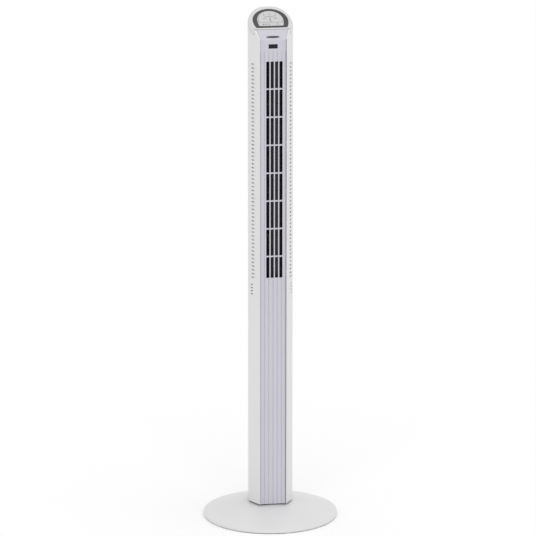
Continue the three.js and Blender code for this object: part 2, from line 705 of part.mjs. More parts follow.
// Cutters through the right cheek's flat stretch, which runs between two stations.
function cheekCutters() {
  const front = cheek.getPoint(VENT_FRONT_STATION);
  const rear = cheek.getPoint(VENT_REAR_STATION);
  const along = rear.clone().sub(front);
  const length = along.length() - 2;
  const turn = Math.atan2(along.y, along.x);
  const middle = front.clone().add(rear).multiplyScalar(0.5);
  const cutter = (slotLength, slotHeight, shift, z) => {
    const geometry = new THREE.BoxGeometry(slotLength, 4 * WALL, slotHeight);
    return solid(geometry.translate(shift, 0, 0).rotateZ(turn).translate(middle.x, middle.y, z));
  };
  const vents = ventHeights.map((z) => cutter(length, VENT_HEIGHT, 0, z));
  const slits = Array.from({ length: MOTOR_SLIT_COUNT }, (_, i) => {
    const z = OUTLET_BOTTOM - MOTOR_SLIT_DROP - i * MOTOR_SLIT_PITCH;
    return cutter(MOTOR_SLIT_LENGTH, MOTOR_SLIT_HEIGHT, (length - MOTOR_SLIT_LENGTH) / 2, z);
  });
  return joined(...vents, ...slits);
}

const shellTop = headZ(COLUMN_REAR) + 10;
// Beside the leaning part of the fascia the panels are solid as far as its edges.
const leanEdges = [-1, 1].map((side) => {
  const near = side * (LEAN_TOP_HALF_WIDTH - WALL);
  const xs = side > 0 ? [near, FAR] : [-FAR, near];
  return block(xs, [-FAR, LEAN_TOP_Y + WALL], [BEND_Z - WALL, 4 * FAR]);
});
const hollow = cut(prism(INSIDE, COLUMN_BOTTOM - 1, shellTop + 1), ...leanEdges);
const shell = prism(OUTLINE, COLUMN_BOTTOM, shellTop).subtract(hollow);

// The cheeks' upper front edges follow the fascia's lean up to the cap's lip.
const trimAngle = Math.atan2(LEAN_TOP_Z - BEND_Z + 2, COLUMN_FRONT + LIP_Y - 1);
const leanTrim = solid(
  blockGeometry([-FAR, FAR], [-FAR, FAR], [0, FAR])
    .rotateX(trimAngle)
    .translate(0, -COLUMN_FRONT, BEND_Z - 2),
);
const capRoom = slopeLayer(-CAP_SKIRT - GAP, FAR).subtract(inFrontOf(LIP_Y - GAP));
const trimmedShell = cut(shell, fasciaRoom, leanTrim, capRoom, slopeLayer(-CAP_PLATE - GAP, FAR));

const rearZone = (halfWidth) => block([-halfWidth, halfWidth], [0, FAR], [-FAR, 4 * FAR]);
const rightHalf = block([0, FAR], [-FAR, FAR], [-FAR, 4 * FAR]);
const rightPanel = cut(
  trimmedShell.intersect(rightHalf),
  rearZone(PARTING_X + GAP / 2),
  cheekCutters(),
);
const rightPanelGeometry = geometryOf(rightPanel);
place(column, "right_side_panel", rightPanelGeometry, "white");

// The left panel is the right one mirrored, with each face turned round to point out again.
function mirrored(geometry) {
  const copy = geometry.clone().scale(-1, 1, 1);
  const index = copy.index.array.slice();
  for (let i = 0; i < index.length; i += 3) {
    [index[i + 1], index[i + 2]] = [index[i + 2], index[i + 1]];
  }
  return copy.setIndex(new THREE.BufferAttribute(index, 1));
}
place(column, "left_side_panel", mirrored(rightPanelGeometry), "white");

const footScrewZ = FOOT_PLATE_TOP - LUG_SINK + LUG_SIZE / 2;
const roofScrewZ = DUCT_ROOF_Z + DUCT_PLATE - LUG_SINK + LUG_SIZE / 2;
const rearScrewPlaces = [footScrewZ, roofScrewZ].flatMap((z) => rearScrewXs.map((x) => [x, z]));
const rearVents = ventHeights.map((z) =>
  block(
    [-REAR_VENT_WIDTH / 2, REAR_VENT_WIDTH / 2],
    [COLUMN_REAR - 2 * WALL, COLUMN_REAR + 1],
    [z - VENT_HEIGHT / 2, z + VENT_HEIGHT / 2],
  ),
);
const headRecesses = rearScrewPlaces.map(([x, z]) =>
  solid(rearwardRod(SCREW_HEAD_RADIUS + GAP, COLUMN_REAR - SCREW_HEAD_HEIGHT, COLUMN_REAR + 1, x, z)),
);
place(
  column,
  "rear_cover",
  cut(
    trimmedShell.intersect(rearZone(PARTING_X - GAP / 2)),
    ...rearVents,
    ...headRecesses,
    ...rearScrewPlaces.map(([x, z]) => screwBore(x, z)),
  ),
  "white",
);
rearScrewPlaces.forEach(([x, z], i) => {
  const seat = COLUMN_REAR - SCREW_HEAD_HEIGHT + GAP;
  const screw = joined(
    solid(rearwardRod(SCREW_HEAD_RADIUS, seat, COLUMN_REAR, x, z)),
    solid(rearwardRod(SCREW_RADIUS, seat - LUG_SIZE, seat + GAP, x, z)),
  );
  place(column, `rear_screw_${i + 1}`, screw, "steel");
});

// ---------------------------------------------------------------- fascia
const flutePitch = (2 * FASCIA_HALF_WIDTH) / FLUTE_COUNT;
const grooveX = (i) => -FASCIA_HALF_WIDTH + i * flutePitch;

function flutedOutline() {
  const crest = [[0, 0], [0.2, 0.75], [0.5, 1], [0.8, 0.75]];
  const front = Array.from({ length: FLUTE_COUNT }, (_, i) =>
    crest.map(([share, rise]) =>
      vec(grooveX(i) + share * flutePitch, FASCIA_FRONT_Y + FLUTE_DEPTH * (1 - rise)),
    ),
  ).flat();
  const edge = vec(FASCIA_HALF_WIDTH, FASCIA_FRONT_Y + FLUTE_DEPTH);
  return [...front, edge, vec(FASCIA_HALF_WIDTH, FASCIA_BACK_Y), vec(-FASCIA_HALF_WIDTH, FASCIA_BACK_Y)];
}

function outletSlots() {
  const rows = Math.ceil(OUTLET_LENGTH / OUTLET_ROW_PITCH);
  const firstGroove = Math.round((FLUTE_COUNT - OUTLET_COLUMNS) / 2) + 1;
  const slots = [];
  for (let row = 0; row < rows; row += 1) {
    const top = OUTLET_TOP - row * OUTLET_ROW_PITCH;
    const bottom = Math.max(top - OUTLET_ROW_PITCH + OUTLET_BAR, OUTLET_BOTTOM);
    for (let i = 0; i < OUTLET_COLUMNS; i += 1) {
      const middle = grooveX(firstGroove + i) - OUTLET_SLOT_SHIFT;
      slots.push(
        block(
          [middle - OUTLET_SLOT_WIDTH / 2, middle + OUTLET_SLOT_WIDTH / 2],
          [FASCIA_FRONT_Y - 1, FASCIA_BACK_Y + 1],
          [bottom, top],
        ),
      );
    }
  }
  return slots;
}

const irZ = BEND_Z - IR_WINDOW_DROP;
const irRoom = block(
  [-IR_WINDOW_WIDTH / 2 - GAP, IR_WINDOW_WIDTH / 2 + GAP],
  [FASCIA_FRONT_Y - 1, FASCIA_BACK_Y + 1],
  [irZ - IR_WINDOW_HEIGHT / 2 - GAP, irZ + IR_WINDOW_HEIGHT / 2 + GAP],
);
const receiverFront = FASCIA_BACK_Y + 1;
place(
  column,
  "front_fascia",
  cut(
    joined(
      prism(flutedOutline(), COLUMN_BOTTOM, BEND_Z - FLUTE_TOP_DROP),
      block(
        [-FASCIA_HALF_WIDTH, FASCIA_HALF_WIDTH],
        [FASCIA_FRONT_Y, FASCIA_BACK_Y],
        [BEND_Z - FLUTE_TOP_DROP, BEND_Z],
      ),
      leanPlate(0, FASCIA_THICKNESS, 0),
    ),
    ...outletSlots(),
    irRoom,
  ),
  "fascia",
);
place(
  column,
  "ir_window",
  blockGeometry(
    [-IR_WINDOW_WIDTH / 2, IR_WINDOW_WIDTH / 2],
    [FASCIA_FRONT_Y + GAP, FASCIA_BACK_Y],
    [irZ - IR_WINDOW_HEIGHT / 2, irZ + IR_WINDOW_HEIGHT / 2],
  ),
  "lens",
);
place(
  column,
  "ir_receiver",
  blockGeometry(
    [-IR_RECEIVER_SIZE / 2, IR_RECEIVER_SIZE / 2],
    [receiverFront, receiverFront + IR_RECEIVER_DEPTH],
    [irZ - IR_RECEIVER_SIZE / 2, irZ + IR_RECEIVER_SIZE / 2],
  ),
  "black",
);
place(
  leaning,
  "badge_bar",
  prismGeometry(
    ellipse(BADGE_WIDTH / 2, BADGE_HEIGHT / 2, 0, BADGE_UP, 20),
    GAP,
    BADGE_THICKNESS,
  ),
  "darkGrey",
);

// ---------------------------------------------------------------- top cap
const frameBack = FRAME_DEPTH;
const frameOutline = dOutline(FRAME_FRONT_HALF_WIDTH, FRAME_HALF_WIDTH, 0, frameBack);
const openingOutline = dOutline(
  FRAME_HALF_WIDTH - FRAME_SIDE_BAND - FRAME_FRONT_TAPER,
  FRAME_HALF_WIDTH - FRAME_SIDE_BAND,
  FRAME_END_BAND,
  frameBack - FRAME_END_BAND,
);
const headFrame = new THREE.Matrix4()
  .makeTranslation(0, -HEAD_FRONT, HEAD_FRONT_Z)
  .multiply(new THREE.Matrix4().makeRotationX(HEAD_SLOPE));

function topCap() {
  const depth = CAP_SKIRT + CAP_EDGE_RADIUS;
  const blankGeometry = new THREE.ExtrudeGeometry(new THREE.Shape(OUTLINE), {
    depth,
    bevelEnabled: true,
    bevelThickness: CAP_EDGE_RADIUS,
    bevelSize: CAP_EDGE_RADIUS,
    bevelOffset: -CAP_EDGE_RADIUS,
    bevelSegments: 3,
  });
  const blank = solid(onSlope(blankGeometry.translate(0, 0, -depth - CAP_EDGE_RADIUS)));
  const inner = solid(onSlope(prismGeometry(inset(OUTLINE, CAP_EDGE_RADIUS), -4 * CAP_SKIRT, -CAP_PLATE)));
  const skirtRoom = solid(
    onSlope(prismGeometry(INSIDE, -4 * CAP_SKIRT, -CAP_EDGE_RADIUS)),
  );
  const opening = solid(
    prismGeometry(inset(frameOutline, -GAP), -FAR / 8, FAR / 8).applyMatrix4(headFrame),
  );
  const front = inFrontOf(LIP_Y);
  return cut(blank, inner, skirtRoom, opening, front, slopeLayer(-FAR, -CAP_SKIRT), fasciaRoom);
}

place(column, "top_cap", topCap(), "white");

// ---------------------------------------------------------------- control panel
place(
  head,
  "control_frame",
  prism(frameOutline, FRAME_PROUD - FRAME_HEIGHT, FRAME_PROUD, [openingOutline]),
  "darkGrey",
);

const panelOutline = inset(openingOutline, GAP);
const buttonTop = BUTTON_PROUD;
const buttonBottom = buttonTop - BUTTON_HEIGHT;
const keyZone = inset(openingOutline, BUTTON_MARGIN);
const powerOutline = (extra) =>
  ellipse(POWER_BUTTON_HALF_WIDTH + extra, POWER_BUTTON_HALF_DEPTH + extra, 0, POWER_BUTTON_UP);

// One of the two keys beside the centre rib, grown by extra for its hole.
function sideKey(side, extra, bottom, top) {
  const zone = prism(inset(keyZone, -extra), bottom, top);
  const nearX = BUTTON_RIB / 2 - extra;
  const xs = side > 0 ? [nearX, FAR] : [-FAR, -nearX];
  const half = block(xs, [KEY_ROW_UP - extra, FAR], [bottom, top]);
  return zone.intersect(half).subtract(prism(powerOutline(BUTTON_RIB - extra), bottom - 1, top + 1));
}

const lightHoles = LIGHT_PLACES.map((x) => rod(LIGHT_RADIUS + GAP, -20, 20, x, LIGHT_ROW_UP, 12));
place(
  head,
  "control_panel",
  cut(
    prism(panelOutline, -PANEL_SUNK - PANEL_THICKNESS, -PANEL_SUNK),
    prism(powerOutline(SLIDE_GAP), -20, 20),
    sideKey(1, SLIDE_GAP, -20, 20),
    sideKey(-1, SLIDE_GAP, -20, 20),
    ...lightHoles,
  ),
  "membrane",
);
place(head, "power_button", prism(powerOutline(0), buttonBottom, buttonTop), "membrane");
place(head, "speed_button", sideKey(-1, 0, buttonBottom, buttonTop), "membrane");
place(head, "timer_button", sideKey(1, 0, buttonBottom, buttonTop), "membrane");
LIGHT_PLACES.forEach((x, i) => {
  const light = rod(LIGHT_RADIUS, LIGHT_PROUD - LIGHT_LENGTH, LIGHT_PROUD, x, LIGHT_ROW_UP, 12);
  place(head, `indicator_light_${i + 1}`, light, "lens");
});

const boardOutline = inset(openingOutline, 1);
const switchTop = buttonBottom - BUTTON_TRAVEL - GAP;
const switchPlaces = [
  vec(0, POWER_BUTTON_UP),
  vec(-KEY_SWITCH_X, KEY_SWITCH_UP),
  vec(KEY_SWITCH_X, KEY_SWITCH_UP),
];
const switchHalf = SWITCH_SIZE / 2;
place(
  head,
  "control_board",
  joined(
    prism(boardOutline, -BOARD_DROP - BOARD_THICKNESS, -BOARD_DROP),
    ...switchPlaces.map((p) =>
      block(
        [p.x - switchHalf, p.x + switchHalf],
        [p.y - switchHalf, p.y + switchHalf],
        [-BOARD_DROP - 1, switchTop],
      ),
    ),
  ),
  "board",
);

// ---------------------------------------------------------------- fan
const impellerBottom = DUCT_FLOOR_Z + DUCT_PLATE + IMPELLER_END_GAP;
const impellerTop = DUCT_ROOF_Z - IMPELLER_END_GAP;
const motorTop = DUCT_FLOOR_Z - GAP - MOUNT_RING_HEIGHT - GAP;
const motorBottom = motorTop - MOTOR_HEIGHT;
const bracketTop = motorBottom - GAP - MOUNT_RING_HEIGHT - GAP;

function impeller() {
  const innerRadius = IMPELLER_RADIUS - BLADE_DEPTH;
  const sweep = BLADE_DEPTH / IMPELLER_RADIUS;
  const at = (radius, angle) => vec(radius * Math.cos(angle), radius * Math.sin(angle));
  const thick = BLADE_THICKNESS / IMPELLER_RADIUS;
  const blades = Array.from({ length: BLADE_COUNT }, (_, i) => {
    const angle = (2 * Math.PI * i) / BLADE_COUNT;
    const outline = [
      at(innerRadius, angle),
      at(IMPELLER_RADIUS - 0.5, angle + sweep),
      at(IMPELLER_RADIUS - 0.5, angle + sweep + thick),
      at(innerRadius, angle + thick * 1.2),
    ];
    return prism(outline, impellerBottom + 0.5, impellerTop - 0.5);
  });
  const span = impellerTop - impellerBottom - DISC_THICKNESS;
  const discs = Array.from({ length: DISC_COUNT }, (_, i) => {
    const z = impellerBottom + (span * i) / (DISC_COUNT - 1);
    const disc = rod(IMPELLER_RADIUS, z, z + DISC_THICKNESS, 0, 0, 20);
    const isEnd = i === 0 || i === DISC_COUNT - 1;
    return isEnd ? disc : disc.subtract(rod(innerRadius - 4, z - 1, z + 5, 0, 0, 16));
  });
  const hub = rod(HUB_RADIUS, impellerBottom, impellerBottom + HUB_HEIGHT, 0, 0, 16);
  const pinTop = DUCT_ROOF_Z + DUCT_PLATE + BEARING_HEIGHT + 2;
  const pin = rod(SHAFT_RADIUS, impellerTop - 1, pinTop, 0, 0, 12);
  const bore = rod(SHAFT_RADIUS + GAP, impellerBottom - 1, impellerBottom + HUB_HEIGHT - 2, 0, 0, 12);
  return cut(joined(...discs, ...blades, hub, pin), bore);
}

place(impellerGroup, "impeller", impeller(), "black");
const rotorBottom = motorBottom + 6;
place(
  impellerGroup,
  "motor_rotor",
  joined(
    rod(ROTOR_RADIUS, rotorBottom, motorTop - 8, 0, 0, 20),
    rod(SHAFT_RADIUS, motorBottom + 3, impellerBottom + HUB_HEIGHT - 3, 0, 0, 12),
  ),
  "steel",
);

const motorCavity = joined(
  rod(ROTOR_RADIUS + 1, rotorBottom - 1, motorTop - 7, 0, FAN_SET_BACK, 20),
  rod(SHAFT_RADIUS + 1, motorBottom + 2, motorTop + 1, 0, FAN_SET_BACK, 16),
);
const motorBlank = rod(MOTOR_RADIUS, motorBottom, motorTop, 0, FAN_SET_BACK, 28);
place(column, "fan_motor", motorBlank.subtract(motorCavity), "steel");
[motorBottom - GAP - MOUNT_RING_HEIGHT, motorTop + GAP].forEach((z, i) => {
  const mountRing = ring(MOUNT_RING_BORE, MOUNT_RING_RADIUS, z, z + MOUNT_RING_HEIGHT, 20);
  place(column, `motor_mount_ring_${i + 1}`, mountRing.translate(0, FAN_SET_BACK, 0), "rubber");
});

// A plate that spans the column's inside, with room for the wiring harness.
function spanPlate(bottom, thickness, boreRadius) {
  const plate = prism(FITTED, bottom, bottom + thickness);
  return cut(
    plate,
    inFrontOf(FASCIA_BACK_Y + 2 * GAP),
    rod(boreRadius, bottom - 1, bottom + thickness + 1, 0, FAN_SET_BACK),
    rod(HARNESS_RADIUS + 1.5, bottom - 1, bottom + thickness + 1, HARNESS_X, HARNESS_Y, 16),
  );
}

const bracketBottom = bracketTop - BRACKET_THICKNESS;
place(column, "motor_bracket", spanPlate(bracketBottom, BRACKET_THICKNESS, PLATE_BORE_RADIUS), "steel");
place(column, "duct_floor", spanPlate(DUCT_FLOOR_Z, DUCT_PLATE, PLATE_BORE_RADIUS), "black");
place(
  column,
  "duct_roof",
  joined(
    spanPlate(DUCT_ROOF_Z, DUCT_PLATE, BEARING_RADIUS + GAP),
    ...rearScrewXs.map((x) => lug(x, DUCT_ROOF_Z + DUCT_PLATE - LUG_SINK)),
  ),
  "black",
);
const bearingBottom = DUCT_ROOF_Z + 0.2;
place(
  column,
  "upper_bearing",
  turned(
    [
      [SHAFT_RADIUS + GAP, bearingBottom],
      [BEARING_RADIUS, bearingBottom],
      [BEARING_RADIUS, DUCT_ROOF_Z + DUCT_PLATE + GAP],
      [BEARING_RADIUS + BEARING_FLANGE, DUCT_ROOF_Z + DUCT_PLATE + GAP],
      [BEARING_RADIUS + BEARING_FLANGE, DUCT_ROOF_Z + DUCT_PLATE + BEARING_FLANGE],
      [BEARING_RADIUS, bearingBottom + BEARING_HEIGHT],
      [SHAFT_RADIUS + GAP, bearingBottom + BEARING_HEIGHT],
    ],
    20,
  ).translate(0, FAN_SET_BACK, 0),
  "bronze",
);

const ductBottom = DUCT_FLOOR_Z + DUCT_PLATE + GAP;
const ductTop = DUCT_ROOF_Z - GAP;
const mouthY = FASCIA_BACK_Y + 2 * GAP;

// A sheet that follows the impeller from the outlet's edge; angles in degrees about its axis.
function ductSheet(from, to, mouthX, steps) {
  const radius = IMPELLER_RADIUS + DUCT_CLEARANCE;
  const arc = (r) =>
    Array.from({ length: steps + 1 }, (_, i) => {
      const angle = THREE.MathUtils.degToRad(from + ((to - from) * i) / steps);
      return vec(r * Math.cos(angle), FAN_SET_BACK + r * Math.sin(angle));
    });
  const outer = [vec(mouthX + Math.sign(mouthX) * DUCT_WALL, mouthY), ...arc(radius + DUCT_WALL)];
  const inner = [vec(mouthX, mouthY), ...arc(radius)].reverse();
  const outline = [...outer, ...inner];
  if (THREE.ShapeUtils.area(outline) < 0) outline.reverse();
  return prismGeometry(outline, ductBottom, ductTop);
}

place(column, "air_duct_scroll", ductSheet(-46, 72, DUCT_MOUTH_X, 10), "black");
place(column, "air_duct_tongue", ductSheet(226, 196, -DUCT_MOUTH_X, 3), "black");

// ---------------------------------------------------------------- electrics
const boardRear = COLUMN_REAR - WALL - POWER_BOARD_STANDOFF;
const powerBoardZ = COLUMN_BOTTOM + POWER_BOARD_RISE;
const boardPosts = [powerBoardZ + BOARD_POST_INSET, powerBoardZ + POWER_BOARD_HEIGHT - BOARD_POST_INSET];
place(
  column,
  "power_board",
  joined(
    block(
      [-POWER_BOARD_WIDTH / 2, POWER_BOARD_WIDTH / 2],
      [boardRear - BOARD_THICKNESS, boardRear],
      [powerBoardZ, powerBoardZ + POWER_BOARD_HEIGHT],
    ),
    block([-20, 8], [boardRear - TRANSFORMER_DEPTH, boardRear - 1], [powerBoardZ + 12, powerBoardZ + 40]),
    block([-14, 20], [boardRear - COMPONENT_DEPTH, boardRear - 1], [powerBoardZ + 58, powerBoardZ + 72]),
    rod(6, powerBoardZ + 80, powerBoardZ + 96, 16, boardRear - 6, 16),
    ...boardPosts.map((z) =>
      solid(rearwardRod(BOARD_POST_RADIUS, boardRear - 1, COLUMN_REAR - WALL - GAP, 0, z)),
    ),
  ),
  "board",
);
const capacitorZ = powerBoardZ + POWER_BOARD_HEIGHT + 20;
place(
  column,
  "motor_capacitor",
  blockGeometry(
    [-CAPACITOR_WIDTH / 2, CAPACITOR_WIDTH / 2],
    [boardRear - COMPONENT_DEPTH, boardRear],
    [capacitorZ, capacitorZ + CAPACITOR_HEIGHT],
  ),
  "black",
);

function wiringHarness() {
  const turnTop = DUCT_ROOF_Z + 25;
  const path = new THREE.CatmullRomCurve3(
    [
      new THREE.Vector3(HARNESS_X + 14, boardRear - 12, powerBoardZ + POWER_BOARD_HEIGHT - 22),
      new THREE.Vector3(HARNESS_X + 6, boardRear - 12, powerBoardZ + POWER_BOARD_HEIGHT),
      new THREE.Vector3(HARNESS_X, HARNESS_Y, powerBoardZ + POWER_BOARD_HEIGHT + 40),
      new THREE.Vector3(HARNESS_X, HARNESS_Y, (powerBoardZ + DUCT_ROOF_Z) / 2),
      new THREE.Vector3(HARNESS_X, HARNESS_Y, DUCT_ROOF_Z - 40),
      new THREE.Vector3(HARNESS_X, HARNESS_Y, DUCT_ROOF_Z + 12),
      new THREE.Vector3(HARNESS_X, HARNESS_Y, turnTop),
      new THREE.Vector3(HARNESS_X + 12, HARNESS_Y - 12, headZ(HARNESS_Y) - 46),
      new THREE.Vector3(HARNESS_X + 20, HARNESS_Y - 18, headZ(HARNESS_Y - 18) - 16),
    ],
    false,
    "centripetal",
  );
  const section = new THREE.Shape(ellipse(HARNESS_RADIUS, HARNESS_RADIUS, 0, 0, 6));
  return new THREE.ExtrudeGeometry(section, { steps: 32, extrudePath: path });
}

place(column, "wiring_harness", wiringHarness(), "black");

export default fan;
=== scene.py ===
"""Tower fan: the visible shells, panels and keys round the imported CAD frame.

Shapes are worked out in millimetres in the CAD frame and turned into metres when a mesh is made.
"""
import json
import math

import bmesh
import bpy
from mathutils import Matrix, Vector
from mathutils.geometry import delaunay_2d_cdt


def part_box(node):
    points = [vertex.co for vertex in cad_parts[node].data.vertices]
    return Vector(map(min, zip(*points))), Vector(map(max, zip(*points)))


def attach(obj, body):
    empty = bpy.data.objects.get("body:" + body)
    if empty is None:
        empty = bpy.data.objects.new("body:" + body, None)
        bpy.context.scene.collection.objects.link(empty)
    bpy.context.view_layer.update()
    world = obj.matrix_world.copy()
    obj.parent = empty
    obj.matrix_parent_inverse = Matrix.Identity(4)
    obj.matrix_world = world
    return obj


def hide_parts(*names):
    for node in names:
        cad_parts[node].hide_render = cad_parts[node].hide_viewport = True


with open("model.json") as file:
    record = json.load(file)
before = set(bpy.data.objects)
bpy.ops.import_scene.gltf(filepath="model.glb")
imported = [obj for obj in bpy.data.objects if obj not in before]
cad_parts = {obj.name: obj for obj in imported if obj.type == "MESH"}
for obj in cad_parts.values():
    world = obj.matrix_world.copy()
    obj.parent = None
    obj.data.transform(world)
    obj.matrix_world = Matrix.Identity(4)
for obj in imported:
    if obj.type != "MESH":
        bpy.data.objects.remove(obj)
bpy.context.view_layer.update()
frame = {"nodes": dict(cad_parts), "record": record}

MM = 0.001


def span(node):
    low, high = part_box(node)
    return low / MM, high / MM


def clamp(value):
    return min(max(value, 0), 1)


def spread(start, end, steps):
    """Evenly spaced values from start to end, both taken in."""
    return [start + (end - start) * i / steps for i in range(steps + 1)]


def frange(start, end, step):
    """Values a step apart from start, none past the end."""
    count = max(0, int((end - start) / step))
    return [start + i * step for i in range(count + 1)]


def ease(share):
    """A soft start and a soft end between 0 and 1."""
    return share * share * (3 - 2 * share)


def bend_point(start, handle, end, t):
    """A point on the curve from start to end that leans towards the handle."""
    return start * (1 - t) ** 2 + handle * 2 * t * (1 - t) + end * t * t


# ---- sizes, in millimetres
GAP = 0.3
WALL = 2.4
SHELL_EDGE = 0.5  # rounding of the tall shells' edges
SLAT_GAP = 0.05
LINE_OVERRUN = 5  # how far the mesh's guide lines run past an outline

base_low, base_high = span("base_cover")
BOX_MARGIN = 0.2  # keeps the true circle inside the box of its faceted solid
BASE_RADIUS = base_high.x - BOX_MARGIN
BASE_SKIRT_BOTTOM = base_low.z
DOME_TOP = base_high.z
BASE_RIM_TOP = 8.6
BASE_RIM_EDGE = 2
BASE_FOOT_EDGE = 1
CROWN_RADIUS = 38
DOME_SHOULDER = (82, DOME_TOP - 3)
POST_RADIUS = 14

panel_low, panel_high = span("right_side_panel")
COLUMN_BOTTOM = panel_low.z
HALF_WIDTH = panel_high.x
COLUMN_FRONT = panel_low.y
COLUMN_REAR = span("rear_cover")[1].y
CHEEK_START_X = 30.5
CHEEK_WIDEST_Y = 0
CHEEK_LEAN = math.radians(27)
CHEEK_HANDLES = (22, 14)
REAR_FLAT_HALF = 8
PARTING_X = 33

FASCIA_FRONT = span("front_fascia")[0].y
FASCIA_THICKNESS = 3.6
FASCIA_HALF = CHEEK_START_X - GAP
FLUTE_COUNT = 6
FLUTE_DEPTH = 1.8
FLUTE_FADE = 6

HEAD_SLOPE = math.radians(27)  # up towards the back
HEAD_FRONT = Vector((0, -24, COLUMN_BOTTOM + 1126.95))  # the middle of the frame's front edge
LIP_DEPTH = 2.6
LIP_Y = HEAD_FRONT.y - LIP_DEPTH
BEND_Z = HEAD_FRONT.z - 25
FLUTE_TOP = BEND_Z - 23
OUTLET_TOP = BEND_Z - 50
OUTLET_LENGTH = 507
OUTLET_ROW_PITCH = 65.4
OUTLET_BAR = 3.2
OUTLET_SLOT_WIDTH = 7.4
LEAN_TOP_MARGIN = 4.9  # from the cheek's face to the leaning part's upper corner
OUTLET_SLOT_SHIFT = 2
OUTLET_FLUTES = (2, 3, 4, 5)  # the crests that carry slots
VENT_PITCH = 8.94
VENT_HEIGHT = 3.5
VENT_COUNT = 57
VENT_TOP = OUTLET_TOP - 9
CAP_PLATE = 2.2
CAP_SKIRT = 14
CAP_RADIUS = 12
CAP_LIP_RADIUS = 1.1
CAP_RADIUS_RUN = 16  # distance behind the lip over which the edge reaches its full radius
CAP_OPENING_MARGIN = 0.8
PANEL_SUNK = 0.2
BUTTON_PROUD = 0.9
BUTTON_HEIGHT = 3.4
POWER_CENTRE = (0, 48)
POWER_SIZE = (13.5, 7.2)
KEY_ROW = 20
KEY_MARGIN = 3
BUTTON_RIB = 2.4
SLIDE_GAP = 0.4


# ---- materials
NOISE_SPAN = (0.3, 0.7)  # the part of the noise's range that is spread over the variation


def set_inputs(node, values):
    for name, value in values.items():
        node.inputs[name].default_value = value


def node_material(name, colour, roughness, metallic=0.0, coat=0.0):
    """A shader and its node tree, with the even values set on the shader itself."""
    material = bpy.data.materials.new(name)
    material.use_nodes = True
    shader = material.node_tree.nodes["Principled BSDF"]
    set_inputs(shader, {
        "Base Color": (*colour, 1), "Roughness": roughness, "Metallic": metallic,
        "Coat Weight": coat, "Coat Roughness": 0.12,
    })
    return material, material.node_tree, shader


def noise(tree, scale, detail=3.0, stretch=(1, 1, 1)):
    """Noise over the object's own coordinates; scale is in features per metre."""
    place = tree.nodes.new("ShaderNodeTexCoord")
    mapping = tree.nodes.new("ShaderNodeMapping")
    texture = tree.nodes.new("ShaderNodeTexNoise")
    set_inputs(mapping, {"Scale": stretch})
    set_inputs(texture, {"Scale": scale, "Detail": detail})
    tree.links.new(place.outputs["Object"], mapping.inputs["Vector"])
    tree.links.new(mapping.outputs["Vector"], texture.inputs["Vector"])
    return texture.outputs["Fac"]


def vary_colour(tree, shader, factor, dark, light):
    ramp = tree.nodes.new("ShaderNodeValToRGB")
    for element, position, colour in zip(ramp.color_ramp.elements, NOISE_SPAN, (dark, light)):
        element.position = position
        element.color = (*colour, 1)
    tree.links.new(factor, ramp.inputs["Fac"])
    tree.links.new(ramp.outputs["Color"], shader.inputs["Base Color"])


def vary_roughness(tree, shader, factor, low, high):
    remap = tree.nodes.new("ShaderNodeMapRange")
    set_inputs(remap, {
        "From Min": NOISE_SPAN[0], "From Max": NOISE_SPAN[1], "To Min": low, "To Max": high,
    })
    tree.links.new(factor, remap.inputs["Value"])
    tree.links.new(remap.outputs["Result"], shader.inputs["Roughness"])


def add_bump(tree, shader, factor, height, strength):
    bump = tree.nodes.new("ShaderNodeBump")
    set_inputs(bump, {"Distance": height, "Strength": strength})
    tree.links.new(factor, bump.inputs["Height"])
    tree.links.new(bump.outputs["Normal"], shader.inputs["Normal"])


def shade(colour, factor):
    return tuple(min(1.0, channel * factor) for channel in colour)


def moulded(
    name, colour, roughness, spread, grain=1800, grain_height=2e-5, coat=0.0, strength=0.25, specular=0.5
):
    """Moulded plastic: faint flow marks, a fine spark-eroded grain and uneven gloss."""
    material, tree, shader = node_material(name, colour, roughness, coat=coat)
    set_inputs(shader, {"Specular IOR Level": specular})
    flow = noise(tree, 14, 2.0, (1, 1, 0.35))
    vary_colour(tree, shader, flow, shade(colour, 1 - spread), shade(colour, 1 + spread / 2))
    vary_roughness(tree, shader, noise(tree, 60, 4.0), roughness * 0.9, roughness * 1.12)
    add_bump(tree, shader, noise(tree, grain, 2.0), grain_height, strength)
    return material


def metal(name, colour, roughness, stretch):
    """Plated or turned metal with fine drawn lines."""
    material, tree, shader = node_material(name, colour, roughness, metallic=1.0)
    lines = noise(tree, 220, 5.0, stretch)
    vary_colour(tree, shader, lines, shade(colour, 0.82), shade(colour, 1.08))
    vary_roughness(tree, shader, lines, roughness * 0.8, roughness * 1.25)
    add_bump(tree, shader, lines, 2e-5, 0.3)
    return material


def cast(name, colour):
    material, tree, shader = node_material(name, colour, 0.75, metallic=0.4)
    lumps = noise(tree, 420, 6.0)
    vary_colour(tree, shader, lumps, shade(colour, 0.6), shade(colour, 1.3))
    add_bump(tree, shader, lumps, 4e-4, 0.7)
    return material


def board(name, colour):
    """Solder mask over copper tracks, which show as paler squares and lines."""
    material, tree, shader = node_material(name, colour, 0.35, coat=0.3)
    place = tree.nodes.new("ShaderNodeTexCoord")
    tracks = tree.nodes.new("ShaderNodeTexBrick")
    set_inputs(tracks, {
        "Scale": 180, "Mortar Size": 0.03, "Color1": (*colour, 1),
        "Color2": (*shade(colour, 0.8), 1), "Mortar": (*shade(colour, 1.7), 1),
    })
    tree.links.new(place.outputs["Object"], tracks.inputs["Vector"])
    tree.links.new(tracks.outputs["Color"], shader.inputs["Base Color"])
    return material


